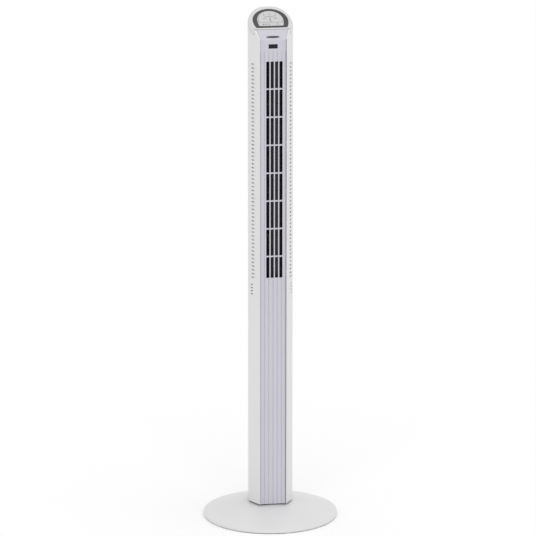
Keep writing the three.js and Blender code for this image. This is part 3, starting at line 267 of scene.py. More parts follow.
MOULDED = {
    "white_plastic": ((0.675, 0.675, 0.68), 0.34, 0.012, {"coat": 0.15}),
    # a darker copy of the white plastic, used on the top cap: painted shade, not a different plastic
    "shaded_cap_plastic": ((0.615, 0.615, 0.62), 0.34, 0.012, {"coat": 0.15}),
    "fascia_plastic": ((0.53, 0.52, 0.575), 0.38, 0.02, {"coat": 0.1}),
    "dark_grey_plastic": ((0.062, 0.062, 0.065), 0.48, 0.08, {"grain_height": 4e-5, "specular": 0.3}),
    "membrane_plastic": ((0.55, 0.55, 0.555), 0.36, 0.015, {"grain": 2600}),
    "black_plastic": ((0.024, 0.023, 0.027), 0.5, 0.15, {"grain_height": 5e-5}),
    "smoked_lens": ((0.008, 0.008, 0.011), 0.22, 0.1, {"grain_height": 4e-6, "specular": 0.22}),
    "black_rubber": ((0.02, 0.02, 0.022), 0.85, 0.2, {"grain": 900, "grain_height": 1e-4, "strength": 0.6}),
    "acetal": ((0.72, 0.70, 0.62), 0.4, 0.03, {}),
    "printed_mark": ((0.10, 0.10, 0.105), 0.5, 0.1, {}),
}
MATERIALS = {
    name: moulded(name, colour, roughness, spread, **finish)
    for name, (colour, roughness, spread, finish) in MOULDED.items()
}
MATERIALS["zinc_steel"] = metal("zinc_steel", (0.45, 0.46, 0.48), 0.32, (1, 1, 8))
MATERIALS["bronze"] = metal("bronze", (0.42, 0.25, 0.10), 0.38, (6, 6, 1))
MATERIALS["cast_iron"] = cast("cast_iron", (0.06, 0.06, 0.065))
MATERIALS["circuit_board"] = board("circuit_board", (0.03, 0.13, 0.05))


# ---- meshes
class Shape:
    """Points in millimetres and the faces between them, gathered for one mesh."""

    def __init__(self):
        self.points = []
        self.faces = []

    def add(self, points):
        start = len(self.points)
        self.points.extend(Vector(point) for point in points)
        return list(range(start, len(self.points)))

    def bridge(self, ring, other):
        """Quads between two closed rings with the same number of points."""
        count = len(ring)
        for i in range(count):
            j = (i + 1) % count
            self.faces.append((ring[i], ring[j], other[j], other[i]))

    def loft(self, rings):
        """A skin over rings of points, open at both ends; gives back the rings' indices."""
        placed = [self.add(ring) for ring in rings]
        for ring, other in zip(placed, placed[1:]):
            self.bridge(ring, other)
        return placed

    def tube(self, rings):
        """A ring-shaped body: the last ring joins the first."""
        placed = self.loft(rings)
        self.bridge(placed[-1], placed[0])

    def mirrored(self):
        other = Shape()
        other.points = [Vector((-p.x, p.y, p.z)) for p in self.points]
        other.faces = [tuple(reversed(face)) for face in self.faces]
        return other


def solid(rings):
    """A closed body through rings of points, flat at both ends."""
    shape = Shape()
    placed = shape.loft(rings)
    shape.faces += [tuple(reversed(placed[0])), tuple(placed[-1])]
    return shape


def merged(shapes):
    total = Shape()
    for shape in shapes:
        start = len(total.points)
        total.points += shape.points
        total.faces += [tuple(i + start for i in face) for face in shape.faces]
    return total


def linked(name, data):
    obj = bpy.data.objects.new(name, data)
    bpy.context.scene.collection.objects.link(obj)
    return obj


def piece(name, shape, slot, body, stands_for=(), sharp=38, finish=None):
    """Makes the mesh, gives it its material and fixes it to its body."""
    mesh = bpy.data.meshes.new(name)
    mesh.from_pydata([point * MM for point in shape.points], [], shape.faces)
    working = bmesh.new()
    working.from_mesh(mesh)
    bmesh.ops.remove_doubles(working, verts=working.verts, dist=2e-6)
    bmesh.ops.recalc_face_normals(working, faces=working.faces)
    working.to_mesh(mesh)
    working.free()
    mesh.validate()
    mesh.shade_smooth()
    mesh.set_sharp_from_angle(angle=math.radians(sharp))
    mesh.materials.append(MATERIALS[finish or slot])
    obj = linked(name, mesh)
    weighted = obj.modifiers.new("weighted_normals", "WEIGHTED_NORMAL")
    weighted.keep_sharp = True
    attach(obj, body)
    if stands_for:
        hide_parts(*stands_for)
    return obj


def offset_loop(loop, distance):
    """A closed plan loop moved to its left by a distance; left is inwards on an anticlockwise loop."""
    count = len(loop)
    moved = []
    for i, point in enumerate(loop):
        before = (point - loop[i - 1]).normalized()
        after = (loop[(i + 1) % count] - point).normalized()
        left = Vector((-before.y - after.y, before.x + after.x))
        scale = distance / max(0.35, 1 + before.dot(after))
        moved.append(point + left * scale)
    return moved


def area(loop):
    return sum(a.x * b.y - b.x * a.y for a, b in zip(loop, loop[1:] + loop[:1])) / 2


def anticlockwise(loop):
    loop = [Vector(point) for point in loop]
    return loop if area(loop) > 0 else loop[::-1]


def inside(point, loop):
    found = False
    for a, b in zip(loop, loop[1:] + loop[:1]):
        if (a.y > point.y) != (b.y > point.y):
            if point.x < a.x + (b.x - a.x) * (point.y - a.y) / (b.y - a.y):
                found = not found
    return found


def loop_box(loop):
    return min(p.x for p in loop), max(p.x for p in loop), min(p.y for p in loop), max(p.y for p in loop)


def loop_distance(point, loop):
    """Distance to a closed loop, negative inside."""
    nearest = 1e9
    for a, b in zip(loop, loop[1:] + loop[:1]):
        along = b - a
        share = clamp((point - a).dot(along) / along.length_squared)
        nearest = min(nearest, (point - a - along * share).length)
    return -nearest if inside(point, loop) else nearest


def triangulated(outline, holes, lines):
    """Plan points and triangles between an outline and its holes, following the given lines."""
    points = []
    edges = []

    def chain(loop, closed):
        start = len(points)
        points.extend(loop)
        last = len(points) - 1
        edges.extend((i, i + 1) for i in range(start, last))
        if closed:
            edges.append((last, start))

    for loop in [outline, *holes]:
        chain(loop, True)
    for line in lines:
        chain([Vector(point) for point in line], False)
    found, _, faces, *_ = delaunay_2d_cdt(points, edges, [], 0, 1e-4)
    boxes = [loop_box(hole) for hole in holes]
    kept = []
    for face in faces:
        middle = sum((found[i] for i in face), Vector((0, 0))) / len(face)
        if not inside(middle, outline):
            continue
        in_hole = any(
            x0 < middle.x < x1 and y0 < middle.y < y1 and inside(middle, hole)
            for hole, (x0, x1, y0, y1) in zip(holes, boxes)
        )
        if not in_hole:
            kept.append(tuple(face))
    used = sorted({i for face in kept for i in face})
    renumber = {old: new for new, old in enumerate(used)}
    return [Vector(found[i]) for i in used], [tuple(renumber[i] for i in face) for face in kept]


def boundary_loops(faces):
    """Closed chains of the edges that have a face on one side only, with the faces on their left."""
    edges = {(a, b) for face in faces for a, b in zip(face, face[1:] + face[:1])}
    onward = {a: b for a, b in edges if (b, a) not in edges}
    loops = []
    while onward:
        start, current = onward.popitem()
        loop = [start]
        while current != start:
            loop.append(current)
            current = onward.pop(current)
        loops.append(loop)
    return loops


ROUNDING = [math.radians(angle) for angle in (30, 60, 90)]


def rounding(radius, angle):
    """How far a rounded edge is inwards and below its crest; the angle is 0 at its foot, 90 at its crest."""
    turn = math.radians(angle)
    return radius * (1 - math.cos(turn)), radius * (1 - math.sin(turn))


def plate(outline, holes, place, thickness, edge, lines=()):
    """A sheet drawn in plan and put in place by place(u, v, depth), with rounded front edges."""
    rim = offset_loop(anticlockwise(outline), edge)
    openings = [offset_loop(anticlockwise(hole), -edge) for hole in holes]
    plan, faces = triangulated(rim, openings, lines)
    faces = [face if area([plan[i] for i in face]) > 0 else face[::-1] for face in faces]
    shape = Shape()
    front = shape.add([place(p.x, p.y, 0) for p in plan])
    shape.faces.extend(tuple(front[i] for i in face) for face in faces)
    back_plan = [point.copy() for point in plan]
    walls = []
    for loop in boundary_loops(faces):
        outer = offset_loop([plan[i] for i in loop], -1)
        outward = [moved - plan[i] for i, moved in zip(loop, outer)]
        ring = [front[i] for i in loop]
        for angle in ROUNDING:
            reach, depth = edge * math.sin(angle), edge * (1 - math.cos(angle))
            spots = [plan[i] + way * reach for i, way in zip(loop, outward)]
            new = shape.add([place(p.x, p.y, depth) for p in spots])
            shape.bridge(new, ring)
            ring = new
        for i, spot in zip(loop, spots):
            back_plan[i] = spot
        walls.append((loop, ring))
    back = shape.add([place(p.x, p.y, thickness) for p in back_plan])
    shape.faces.extend(tuple(back[i] for i in reversed(face)) for face in faces)
    for loop, ring in walls:
        shape.bridge([back[i] for i in loop], ring)
    return shape


def lathe(profile, steps=128, centre=(0, 0, 0)):
    """A body turned about the vertical from [radius, height] points; points on the axis close it."""
    shape = Shape()
    origin = Vector(centre)
    rings = []
    for radius, height in profile:
        if radius < 1e-6:
            rings.append(shape.add([origin + Vector((0, 0, height))]) * steps)
            continue
        angles = [2 * math.pi * i / steps for i in range(steps)]
        rings.append(shape.add([
            origin + Vector((radius * math.cos(a), radius * math.sin(a), height)) for a in angles
        ]))
    closed = profile[0][0] > 1e-6
    pairs = list(zip(rings, rings[1:])) + ([(rings[-1], rings[0])] if closed else [])
    for ring, other in pairs:
        for i in range(steps):
            j = (i + 1) % steps
            corners = [ring[i], ring[j], other[j], other[i]]
            face = tuple(dict.fromkeys(corners))
            if len(face) > 2:
                shape.faces.append(face)
    return shape


def arc(centre, radius, start, end, steps):
    """Points on an arc in plan; angles in degrees."""
    angles = [math.radians(angle) for angle in spread(start, end, steps)]
    return [(centre[0] + radius * math.cos(a), centre[1] + radius * math.sin(a)) for a in angles]


def rectangle(low, high):
    return [low, (high[0], low[1]), high, (low[0], high[1])]


def rounded(corners, radius, steps=5):
    """A closed plan outline with each corner rounded by a short curve."""
    corners = [Vector(corner) for corner in corners]
    count = len(corners)
    loop = []
    for i, corner in enumerate(corners):
        before, after = corners[i - 1], corners[(i + 1) % count]
        reach = min(radius, (before - corner).length * 0.49, (after - corner).length * 0.49)
        start = corner + (before - corner).normalized() * reach
        end = corner + (after - corner).normalized() * reach
        loop += [bend_point(start, corner, end, t) for t in spread(0, 1, steps)]
    return loop


def stadium(middle, length, height, steps=8):
    """A slot lying along u with round ends."""
    u, v = middle
    radius = height / 2
    reach = length / 2 - radius
    return arc((u + reach, v), radius, -90, 90, steps) + arc((u - reach, v), radius, 90, 270, steps)


def oval(centre, size, steps=64):
    angles = [2 * math.pi * i / steps for i in range(steps)]
    return [(centre[0] + size[0] * math.cos(a), centre[1] + size[1] * math.sin(a)) for a in angles]


# ---- the column's section
class Section:
    """A plan curve read by the distance along it; its outer side is on the right."""

    def __init__(self, points):
        self.points = [Vector(point) for point in points]
        self.marks = [0.0]
        for a, b in zip(self.points, self.points[1:]):
            self.marks.append(self.marks[-1] + (b - a).length)
        ways = [(b - a).normalized() for a, b in zip(self.points, self.points[1:])]
        self.ways = [ways[0]] + [(a + b).normalized() for a, b in zip(ways, ways[1:])] + [ways[-1]]

    def read(self, distance):
        """The point and the outward direction at a distance; it runs straight on past either end."""
        inner = min(max(distance, 0), self.marks[-1])
        i = next(k for k in range(1, len(self.marks)) if inner <= self.marks[k] + 1e-9)
        share = (inner - self.marks[i - 1]) / (self.marks[i] - self.marks[i - 1])
        point = self.points[i - 1].lerp(self.points[i], share)
        way = self.ways[i - 1].lerp(self.ways[i], share).normalized()
        return point + way * (distance - inner), Vector((way.y, -way.x))

    def find(self, test):
        """The first distance at which test(point) holds."""
        for a, b, mark, other in zip(self.points, self.points[1:], self.marks, self.marks[1:]):
            if test(b):
                steps = 40
                for k in range(steps + 1):
                    if test(a.lerp(b, k / steps)):
                        return mark + (other - mark) * k / steps
        return self.marks[-1]


CHEEK_STEPS = 50


def half_section():
    """From the right cheek's front edge round to the middle of the back."""
    start = Vector((CHEEK_START_X, COLUMN_FRONT))
    widest = Vector((HALF_WIDTH, CHEEK_WIDEST_Y))
    lean = Vector((math.sin(CHEEK_LEAN), math.cos(CHEEK_LEAN)))
    handles = [start, start + lean * CHEEK_HANDLES[0], widest - Vector((0, CHEEK_HANDLES[1])), widest]
    cheek = []
    for t in spread(0, 1, CHEEK_STEPS):
        weights = ((1 - t) ** 3, 3 * t * (1 - t) ** 2, 3 * t * t * (1 - t), t ** 3)
        cheek.append(sum((p * w for p, w in zip(handles, weights)), Vector((0, 0))))
    corner = []
    for i in range(1, 33):
        angle = math.pi / 2 * i / 32
        corner.append(Vector((
            REAR_FLAT_HALF + (HALF_WIDTH - REAR_FLAT_HALF) * math.cos(angle),
            CHEEK_WIDEST_Y + (COLUMN_REAR - CHEEK_WIDEST_Y) * math.sin(angle),
        )))
    return cheek + corner + [Vector((0, COLUMN_REAR))]


HALF = half_section()
SIDE = Section(HALF)
WHOLE = Section(HALF + [Vector((-p.x, p.y)) for p in HALF[-2::-1]])


def head_z(y):
    return HEAD_FRONT.z + (y - HEAD_FRONT.y) * math.tan(HEAD_SLOPE)


def on_head(x, up, out):
    """A point on the sloping head: up the slope from the frame's front edge, and out of its face."""
    return Vector((
        x,
        HEAD_FRONT.y + up * math.cos(HEAD_SLOPE) - out * math.sin(HEAD_SLOPE),
        HEAD_FRONT.z + up * math.sin(HEAD_SLOPE) + out * math.cos(HEAD_SLOPE),
    ))


GUIDE_BOTTOM = COLUMN_BOTTOM - LINE_OVERRUN
GUIDE_TOP = head_z(COLUMN_REAR)
GUIDE_HALF = 60


# ---- base
def base_cover():
    """A shallow dome with a rolled rim, open below."""
    start, end = Vector((CROWN_RADIUS, DOME_TOP)), Vector((BASE_RADIUS - 2.2, BASE_RIM_TOP + 1.1))
    shoulder = Vector(DOME_SHOULDER)
    dome = [tuple(bend_point(start, shoulder, end, t)) for t in spread(0, 1, 28)]
    rim_edge = arc((BASE_RADIUS - BASE_RIM_EDGE, BASE_RIM_TOP - 1), BASE_RIM_EDGE, 70, 0, 5)
    foot_middle = (BASE_RADIUS - BASE_FOOT_EDGE, BASE_SKIRT_BOTTOM + BASE_FOOT_EDGE)
    foot = arc(foot_middle, BASE_FOOT_EDGE, 0, -90, 4)
    bore = POST_RADIUS + SLIDE_GAP
    outer = [(bore, DOME_TOP - 0.6), (bore + 0.6, DOME_TOP), *dome, *rim_edge, *foot]
    lowered = [(radius, height - WALL) for radius, height in dome[:-1]][::-1]
    skirt = BASE_RADIUS - WALL
    inner = [(skirt, BASE_SKIRT_BOTTOM), (skirt, BASE_RIM_TOP - WALL), *lowered]
    return lathe([*outer, *inner, (bore, DOME_TOP - WALL)], 192)


piece("base_cover_shell", base_cover(), "white_plastic", "base", ["base_cover"])


# ---- side panels
CAPSULE_DEPTH = 0.8
CAPSULE_SLOPE = 1.4
VENT_STATIONS = (0.36, 0.7)  # shares of the cheek's curve
VENT_FRONT = SIDE.marks[round(VENT_STATIONS[0] * CHEEK_STEPS)]
VENT_REAR = SIDE.marks[round(VENT_STATIONS[1] * CHEEK_STEPS)]
VENT_MIDDLE = (VENT_FRONT + VENT_REAR) / 2
VENT_LENGTH = VENT_REAR - VENT_FRONT - 2
VENT_HEIGHTS = [VENT_TOP - i * VENT_PITCH for i in range(VENT_COUNT)]
CAPSULE_WIDTH = VENT_LENGTH + 7
CAPSULE_MIDDLES = (VENT_HEIGHTS[-1] + 7, VENT_TOP - 7)
SLIT_PITCH = 7.4
SLIT_TOP = OUTLET_TOP - OUTLET_LENGTH - 20
SLITS = [SLIT_TOP - i * SLIT_PITCH for i in range(4)]
VENT_SHORTENED = 4  # taken from the vents' rear ends
SLAT_DEPTH = 3.4
SLAT_RISE = 5.2
SLAT_THICKNESS = 1.2
SIDE_END = SIDE.find(lambda p: p.y > CHEEK_WIDEST_Y and p.x < PARTING_X + GAP / 2)
STEP_AT = SIDE.find(lambda p: p.y > LIP_Y - GAP)


def capsule(inset):
    """The shallow field round the vents, as a closed loop inset from its edge."""
    radius = CAPSULE_WIDTH / 2 - inset
    low, high = CAPSULE_MIDDLES
    return arc((VENT_MIDDLE, high), radius, 0, 180, 24) + arc((VENT_MIDDLE, low), radius, 180, 360, 24)


def capsule_recess(u, v):
    low, high = CAPSULE_MIDDLES
    away = (Vector((u, v)) - Vector((VENT_MIDDLE, min(max(v, low), high)))).length
    return CAPSULE_DEPTH * clamp((CAPSULE_WIDTH / 2 - away) / CAPSULE_SLOPE)


def trim_height(y):
    """The cheeks' upper front edges follow the fascia's lean."""
    run = LIP_Y - 1 - COLUMN_FRONT
    rise = head_z(LIP_Y) - CAP_PLATE - GAP - BEND_Z + 2
    return min(BEND_Z - 2 + (y - COLUMN_FRONT) * rise / run, head_z(y) - CAP_PLATE - GAP)


def side_top(distance):
    """Where the side panel ends above: under the cap's skirt, or along the fascia's lean in front."""
    y = SIDE.read(distance)[0].y
    return head_z(y) - CAP_SKIRT - GAP if distance > STEP_AT + 1e-6 else trim_height(y)


def side_outline():
    rear = spread(STEP_AT, SIDE_END, 24)[::-1]
    front = spread(0, STEP_AT, 8)[::-1]
    top = [(s, side_top(s + 1e-5)) for s in rear] + [(s, side_top(s)) for s in front]
    return [(0, COLUMN_BOTTOM), (SIDE_END, COLUMN_BOTTOM), *top]


def place_side(u, v, depth):
    point, outward = SIDE.read(u)
    sunk = depth + capsule_recess(u, v) * (1 - depth / WALL)
    point = point - outward * sunk
    return Vector((max(point.x, CHEEK_START_X), point.y, v))


def side_panel():
    middle, length = VENT_MIDDLE - VENT_SHORTENED / 2, VENT_LENGTH - VENT_SHORTENED
    vents = [stadium((middle, z), length, VENT_HEIGHT) for z in VENT_HEIGHTS]
    slits = [stadium((VENT_REAR - 6, z), 10, 2, 5) for z in SLITS]
    lines = [[(u, GUIDE_BOTTOM), (u, GUIDE_TOP)] for u in frange(3, SIDE_END, 2.6)]
    levels = frange(COLUMN_BOTTOM + 60, VENT_HEIGHTS[-1] - 40, 60)
    lines += [[(-LINE_OVERRUN, z), (SIDE_END + LINE_OVERRUN, z)] for z in levels]
    for inset in (0, CAPSULE_SLOPE):
        loop = capsule(inset)
        lines.append(loop + loop[:1])
    return plate(side_outline(), vents + slits, place_side, WALL, SHELL_EDGE, lines)


def slat_section(z, start, reach, rise):
    """A slat behind the vent at z, as (depth, height) points; it rises as it goes inwards."""
    low = z - VENT_HEIGHT / 2 - 0.4
    return [
        (start, low - SLAT_THICKNESS), (start + reach, low + rise - SLAT_THICKNESS),
        (start + reach, low + rise), (start, low),
    ]


def louvres():
    """Slats behind the vents that rise inwards, so that the vents show a lit slope."""
    slats = []
    for z in VENT_HEIGHTS:
        section = slat_section(z, WALL + SLAT_GAP, SLAT_DEPTH - SLAT_GAP, SLAT_RISE)
        rings = []
        for u in frange(VENT_FRONT - 1, VENT_REAR + 1, 3):
            point, outward = SIDE.read(u)
            rings.append([Vector((*(point - outward * depth), height)) for depth, height in section])
        slats.append(solid(rings))
    return merged(slats)


# ---- rear cover
REAR_MIDDLE = SIDE.marks[-1]
REAR_REACH = REAR_MIDDLE - SIDE.find(lambda p: p.y > CHEEK_WIDEST_Y and p.x < PARTING_X - GAP / 2)
REAR_VENT_WIDTH = 30
REAR_SLAT_DEPTH = 5
REAR_SLAT_RISE = 4.8
REAR_SCREWS = [span(f"rear_screw_{i}") for i in (1, 2, 3, 4)]
SCREW_HEAD = 3.2
SCREW_HOLE = 3.6


def place_rear(u, v, depth):
    point, outward = WHOLE.read(REAR_MIDDLE + u)
    return Vector((*(point - outward * depth), v))


def rear_cover():
    us = spread(-REAR_REACH, REAR_REACH, 32)
    top = [(u, head_z(place_rear(u, 0, 0).y) - CAP_SKIRT - GAP) for u in reversed(us)]
    outline = [(-REAR_REACH, COLUMN_BOTTOM), (REAR_REACH, COLUMN_BOTTOM), *top]
    vents = [stadium((0, z), REAR_VENT_WIDTH, VENT_HEIGHT) for z in VENT_HEIGHTS]
    screws = []
    for low, high in REAR_SCREWS:
        middle = (low + high) / 2
        screws.append(oval((-middle.x, middle.z), (SCREW_HOLE, SCREW_HOLE), 24))
    curved = [u for u in us[1:-1] if abs(u) > REAR_FLAT_HALF - 1]
    lines = [[(u, GUIDE_BOTTOM), (u, GUIDE_TOP)] for u in curved]
    levels = frange(COLUMN_BOTTOM + 60, VENT_HEIGHTS[-1] - 20, 60)
    lines += [[(-GUIDE_HALF, z), (GUIDE_HALF, z)] for z in levels]
    return plate(outline, vents + screws, place_rear, WALL, SHELL_EDGE, lines)


def rear_louvres():
    half = REAR_VENT_WIDTH / 2 + 1
    back = place_rear(half, 0, WALL + SLAT_GAP).y
    slats = []
    for z in VENT_HEIGHTS:
        section = slat_section(z, 0, REAR_SLAT_DEPTH, REAR_SLAT_RISE)
        slats.append(solid([
            [Vector((x, back - depth, height)) for depth, height in section] for x in (-half, half)
        ]))
    return merged(slats)


piece("rear_cover_shell", rear_cover(), "white_plastic", "column", ["rear_cover"])
piece("rear_louvres", rear_louvres(), "white_plastic", "column")


# ---- fascia
LEAN_TOP = Vector((LIP_Y - 0.4, head_z(LIP_Y) - CAP_PLATE - GAP))
LEAN_BOTTOM = Vector((FASCIA_FRONT, BEND_Z))
LEAN_LENGTH = (LEAN_TOP - LEAN_BOTTOM).length
LEAN_ANGLE = math.pi / 2 - math.atan2(LEAN_TOP.y - LEAN_BOTTOM.y, LEAN_TOP.x - LEAN_BOTTOM.x)
BEND_REACH = 3.0  # length of the curved stretch on each side of the bend
FLUTE_PITCH = 2 * FASCIA_HALF / FLUTE_COUNT


def flute_depth(u, v):
    """How far the fluted face lies behind its crests; the flutes run out below the window."""
    share = ((u + FASCIA_HALF) / FLUTE_PITCH) % 1
    fade = clamp((FLUTE_TOP - v) / FLUTE_FADE)
    rise = math.sqrt(max(0, 1 - (2 * share - 1) ** 2))
    return FLUTE_DEPTH * (1 - rise) * ease(fade)


def place_fascia(u, v, depth):
    """u across, v up the face, over the bend and on up the lean."""
    past = v - BEND_Z
    share = clamp((past + BEND_REACH) / (2 * BEND_REACH))
    angle = LEAN_ANGLE * share
    curved = 2 * BEND_REACH * share
    radius = 2 * BEND_REACH / LEAN_ANGLE
    start = Vector((FASCIA_FRONT, BEND_Z - BEND_REACH))
    if past < -BEND_REACH:
        point = Vector((FASCIA_FRONT, v))
    else:
        turn = Vector((radius * (1 - math.cos(angle)), radius * math.sin(angle)))
        way = Vector((math.sin(angle), math.cos(angle)))
        point = start + turn + way * (past + BEND_REACH - curved)
    inward = Vector((math.cos(angle), -math.sin(angle)))
    sunk = depth + flute_depth(u, v) * (1 - depth / FASCIA_THICKNESS)
    point = point + inward * sunk
    return Vector((u, point.x, point.y))


def cheek_x(y):
    """The cheek's distance from the middle where it passes y."""
    return SIDE.read(SIDE.find(lambda p: p.y > y))[0].x


def fascia_half_width(v):
    share = clamp((v - BEND_Z) / LEAN_LENGTH)
    return FASCIA_HALF + (cheek_x(LEAN_TOP.x) - LEAN_TOP_MARGIN - FASCIA_HALF) * share


def fascia():
    right = [(fascia_half_width(v), v) for v in spread(BEND_Z, BEND_Z + LEAN_LENGTH, 10)]
    left = [(-u, v) for u, v in reversed(right)]
    outline = [(-FASCIA_HALF, COLUMN_BOTTOM), (FASCIA_HALF, COLUMN_BOTTOM), *right, *left]
    outlet_bottom = OUTLET_TOP - OUTLET_LENGTH
    slots = []
    for row in range(math.ceil(OUTLET_LENGTH / OUTLET_ROW_PITCH)):
        high = OUTLET_TOP - row * OUTLET_ROW_PITCH
        low = max(high - OUTLET_ROW_PITCH + OUTLET_BAR, outlet_bottom)
        for flute in OUTLET_FLUTES:
            u = -FASCIA_HALF + flute * FLUTE_PITCH - OUTLET_SLOT_SHIFT
            half = OUTLET_SLOT_WIDTH / 2
            slots.append(rounded(rectangle((u - half, low), (u + half, high)), 0.9, 3))
    low, high = span("ir_window")
    window = rounded(rectangle((low.x - GAP, low.z - GAP), (high.x + GAP, high.z + GAP)), 1.6)
    lines = []
    for flute in range(FLUTE_COUNT):
        for k in range(10):
            share = (1 - math.cos(math.pi * k / 10)) / 2
            u = -FASCIA_HALF + (flute + share) * FLUTE_PITCH
            lines.append([(u, GUIDE_BOTTOM), (u, FLUTE_TOP)])
    rows = [FLUTE_TOP - FLUTE_FADE * i / 6 for i in range(7)]
    rows += [BEND_Z + BEND_REACH * i / 4 for i in range(-4, 5)]
    rows += frange(COLUMN_BOTTOM + 50, outlet_bottom - 20, 50)
    lines += [[(-GUIDE_HALF, v), (GUIDE_HALF, v)] for v in rows]
    return plate(outline, [*slots, window], place_fascia, FASCIA_THICKNESS, 0.35, lines)


piece("fluted_fascia", fascia(), "fascia_plastic", "column", ["front_fascia"], sharp=50)


def lean_edge():
    """The solid strip of the side panel between the cheek's face and the leaning fascia."""
    rings = []
    for y in spread(COLUMN_FRONT + 0.8, LIP_Y - 0.35, 12):
        share = max(0, (y - FASCIA_FRONT) / (LEAN_TOP.x - FASCIA_FRONT))
        near = CHEEK_START_X + (fascia_half_width(BEND_Z + LEAN_LENGTH) + GAP - CHEEK_START_X) * share
        far = cheek_x(y) - 0.1
        high = trim_height(y)
        soft = min(0.5, (far - near) / 3)
        section = [
            (near, high - 5), (near, high - soft), (near + soft, high),
            (far - soft, high), (far, high - soft), (far, high - 5),
        ]
        rings.append([Vector((x, y, z)) for x, z in section])
    return solid(rings)


right_panel = merged([side_panel(), lean_edge()])
right_louvres = louvres()
piece("right_side_panel_shell", right_panel, "white_plastic", "column", ["right_side_panel"])
piece("left_side_panel_shell", right_panel.mirrored(), "white_plastic", "column", ["left_side_panel"])
piece("right_louvres", right_louvres, "white_plastic", "column")
piece("left_louvres", right_louvres.mirrored(), "white_plastic", "column")


def ir_window():
    low, high = span("ir_window")
    middle = Vector(((low.x + high.x) / 2, (low.z + high.z) / 2))
    outline = rounded(rectangle((low.x, low.z), (high.x, high.z)), 1.5)

    def place(u, v, depth):
        crown = 0.25 * (1 - ((u - middle.x) / 12) ** 2)
        return Vector((u, low.y - crown + depth, v))

    lines = [[(u, low.z - 2), (u, high.z + 2)] for u in frange(low.x + 1.5, high.x, 2)]
    return plate(outline, [], place, high.y - low.y, 0.4, lines)


piece("ir_window_lens", ir_window(), "smoked_lens", "column", ["ir_window"])


def badge():
    """A plain oval bar with a raised rim, with nothing written on it."""
    low, high = span("badge_bar")
    lean_up = Vector((0, math.sin(LEAN_ANGLE), math.cos(LEAN_ANGLE)))
    lean_out = Vector((0, -math.cos(LEAN_ANGLE), math.sin(LEAN_ANGLE)))
    half = ((high.x - low.x) / 2, 2.3)
    profile = [(0, 0.1), (0, 0.9), (0.25, 1.1), (0.5, 1.1), (0.7, 0.75), (1.1, 0.7)]
    seat = place_fascia(0, BEND_Z + 7, 0)
    rings = []
    for inset, out in profile:
        loop = oval((0, 0), (half[0] - inset, half[1] - inset), 72)
        rings.append([seat + Vector((u, 0, 0)) + lean_up * v + lean_out * out for u, v in loop])
    return solid(rings)


piece("badge_bar_oval", badge(), "dark_grey_plastic", "column", ["badge_bar"])


# ---- head: D outlines
def d_outline(front_half, half, front, back, corner=2.2):
    """Straight front edge, gently spread sides and an elliptical back; starts at the front's middle."""
    shoulder = front + (back - front) * 0.38
    start, tip = Vector((front_half - corner, front)), Vector((front_half, front))
    widest = Vector((half, shoulder))
    handle = Vector((half, (front + shoulder) / 2))
    side = [bend_point(tip, handle, widest, i / 14) for i in range(1, 14)]
    angles = [math.pi * i / 56 for i in range(29)]
    back_arc = [Vector((half * math.cos(a), shoulder + (back - shoulder) * math.sin(a))) for a in angles]
    after = tip + (side[2] - tip).normalized() * corner
    bend = [bend_point(start, tip, after, t) for t in (0, 0.25, 0.5, 0.75, 1)]
    side = [point for point in side if point.y > after.y + 0.5]
    side = side[-10:]
    front_line = [Vector((start.x * i / 8, front)) for i in range(8)]
    right = front_line + bend + side + back_arc
    left = [Vector((-p.x, p.y)) for p in right[-2:0:-1]]
    return right + left


FRAME_OUTLINE = d_outline(35.4, 40.5, 0, 69)
OPENING_OUTLINE = d_outline(27.7, 30.5, 6.6, 62.4)


def control_frame():
    """A raised band whose face falls slightly towards the panel."""
    proud, low, fall = 0.8, -4.2, 0.3
    radius, inner_radius = 0.7, 0.5
    ways = [(b - a).normalized() for a, b in zip(FRAME_OUTLINE, OPENING_OUTLINE)]
    rings = [[on_head(p.x, p.y, low) for p in FRAME_OUTLINE]]

    def ring(loop, inset, out):
        rings.append([on_head(*(p + way * inset), out) for p, way in zip(loop, ways)])

    for angle in (0, 22.5, 45, 67.5, 90):
        inset, drop = rounding(radius, angle)
        ring(FRAME_OUTLINE, inset, proud - drop)
    for angle in (90, 60, 30, 0):
        inset, drop = rounding(inner_radius, angle)
        ring(OPENING_OUTLINE, -inset, proud - fall - drop)
    ring(OPENING_OUTLINE, 0, low)
    shape = Shape()
    shape.tube(rings)
    return shape


piece("control_frame_ring", control_frame(), "dark_grey_plastic", "column", ["control_frame"])


# ---- top cap
def cap_opening():
    """The opening for the control frame, in plan."""
    return [Vector(on_head(p.x, p.y, 0)[:2]) for p in offset_loop(FRAME_OUTLINE, -GAP)]


def cap_plan():
    """The column's outline behind the lip, as (point, edge radius, skirt depth)."""
    start = SIDE.find(lambda p: p.y > LIP_Y)
    right = [SIDE.read(distance)[0] for distance in spread(start, SIDE.marks[-1], 90)]
    corner = right[0]
    lip = [Vector((corner.x * i / 12, LIP_Y)) for i in range(11)]
    reach = corner.x - lip[-1].x
    right = [p for p in right if (p - corner).length > reach]
    bend = [bend_point(lip[-1], corner, right[0], k / 7) for k in range(1, 7)]
    half = lip + bend + right
    count = len(lip) + 3
    plan = []
    opening = cap_opening()
    for i, point in enumerate(half):
        share = clamp((point.y - LIP_Y - 1) / CAP_RADIUS_RUN)
        largest = min(CAP_RADIUS, loop_distance(point, opening) - CAP_OPENING_MARGIN)
        radius = CAP_LIP_RADIUS + (largest - CAP_LIP_RADIUS) * ease(share)
        plan.append((point, radius, CAP_PLATE if i < count else CAP_SKIRT))
    left = [(Vector((-p.x, p.y)), radius, skirt) for p, radius, skirt in plan[-2:0:-1]]
    return plan + left


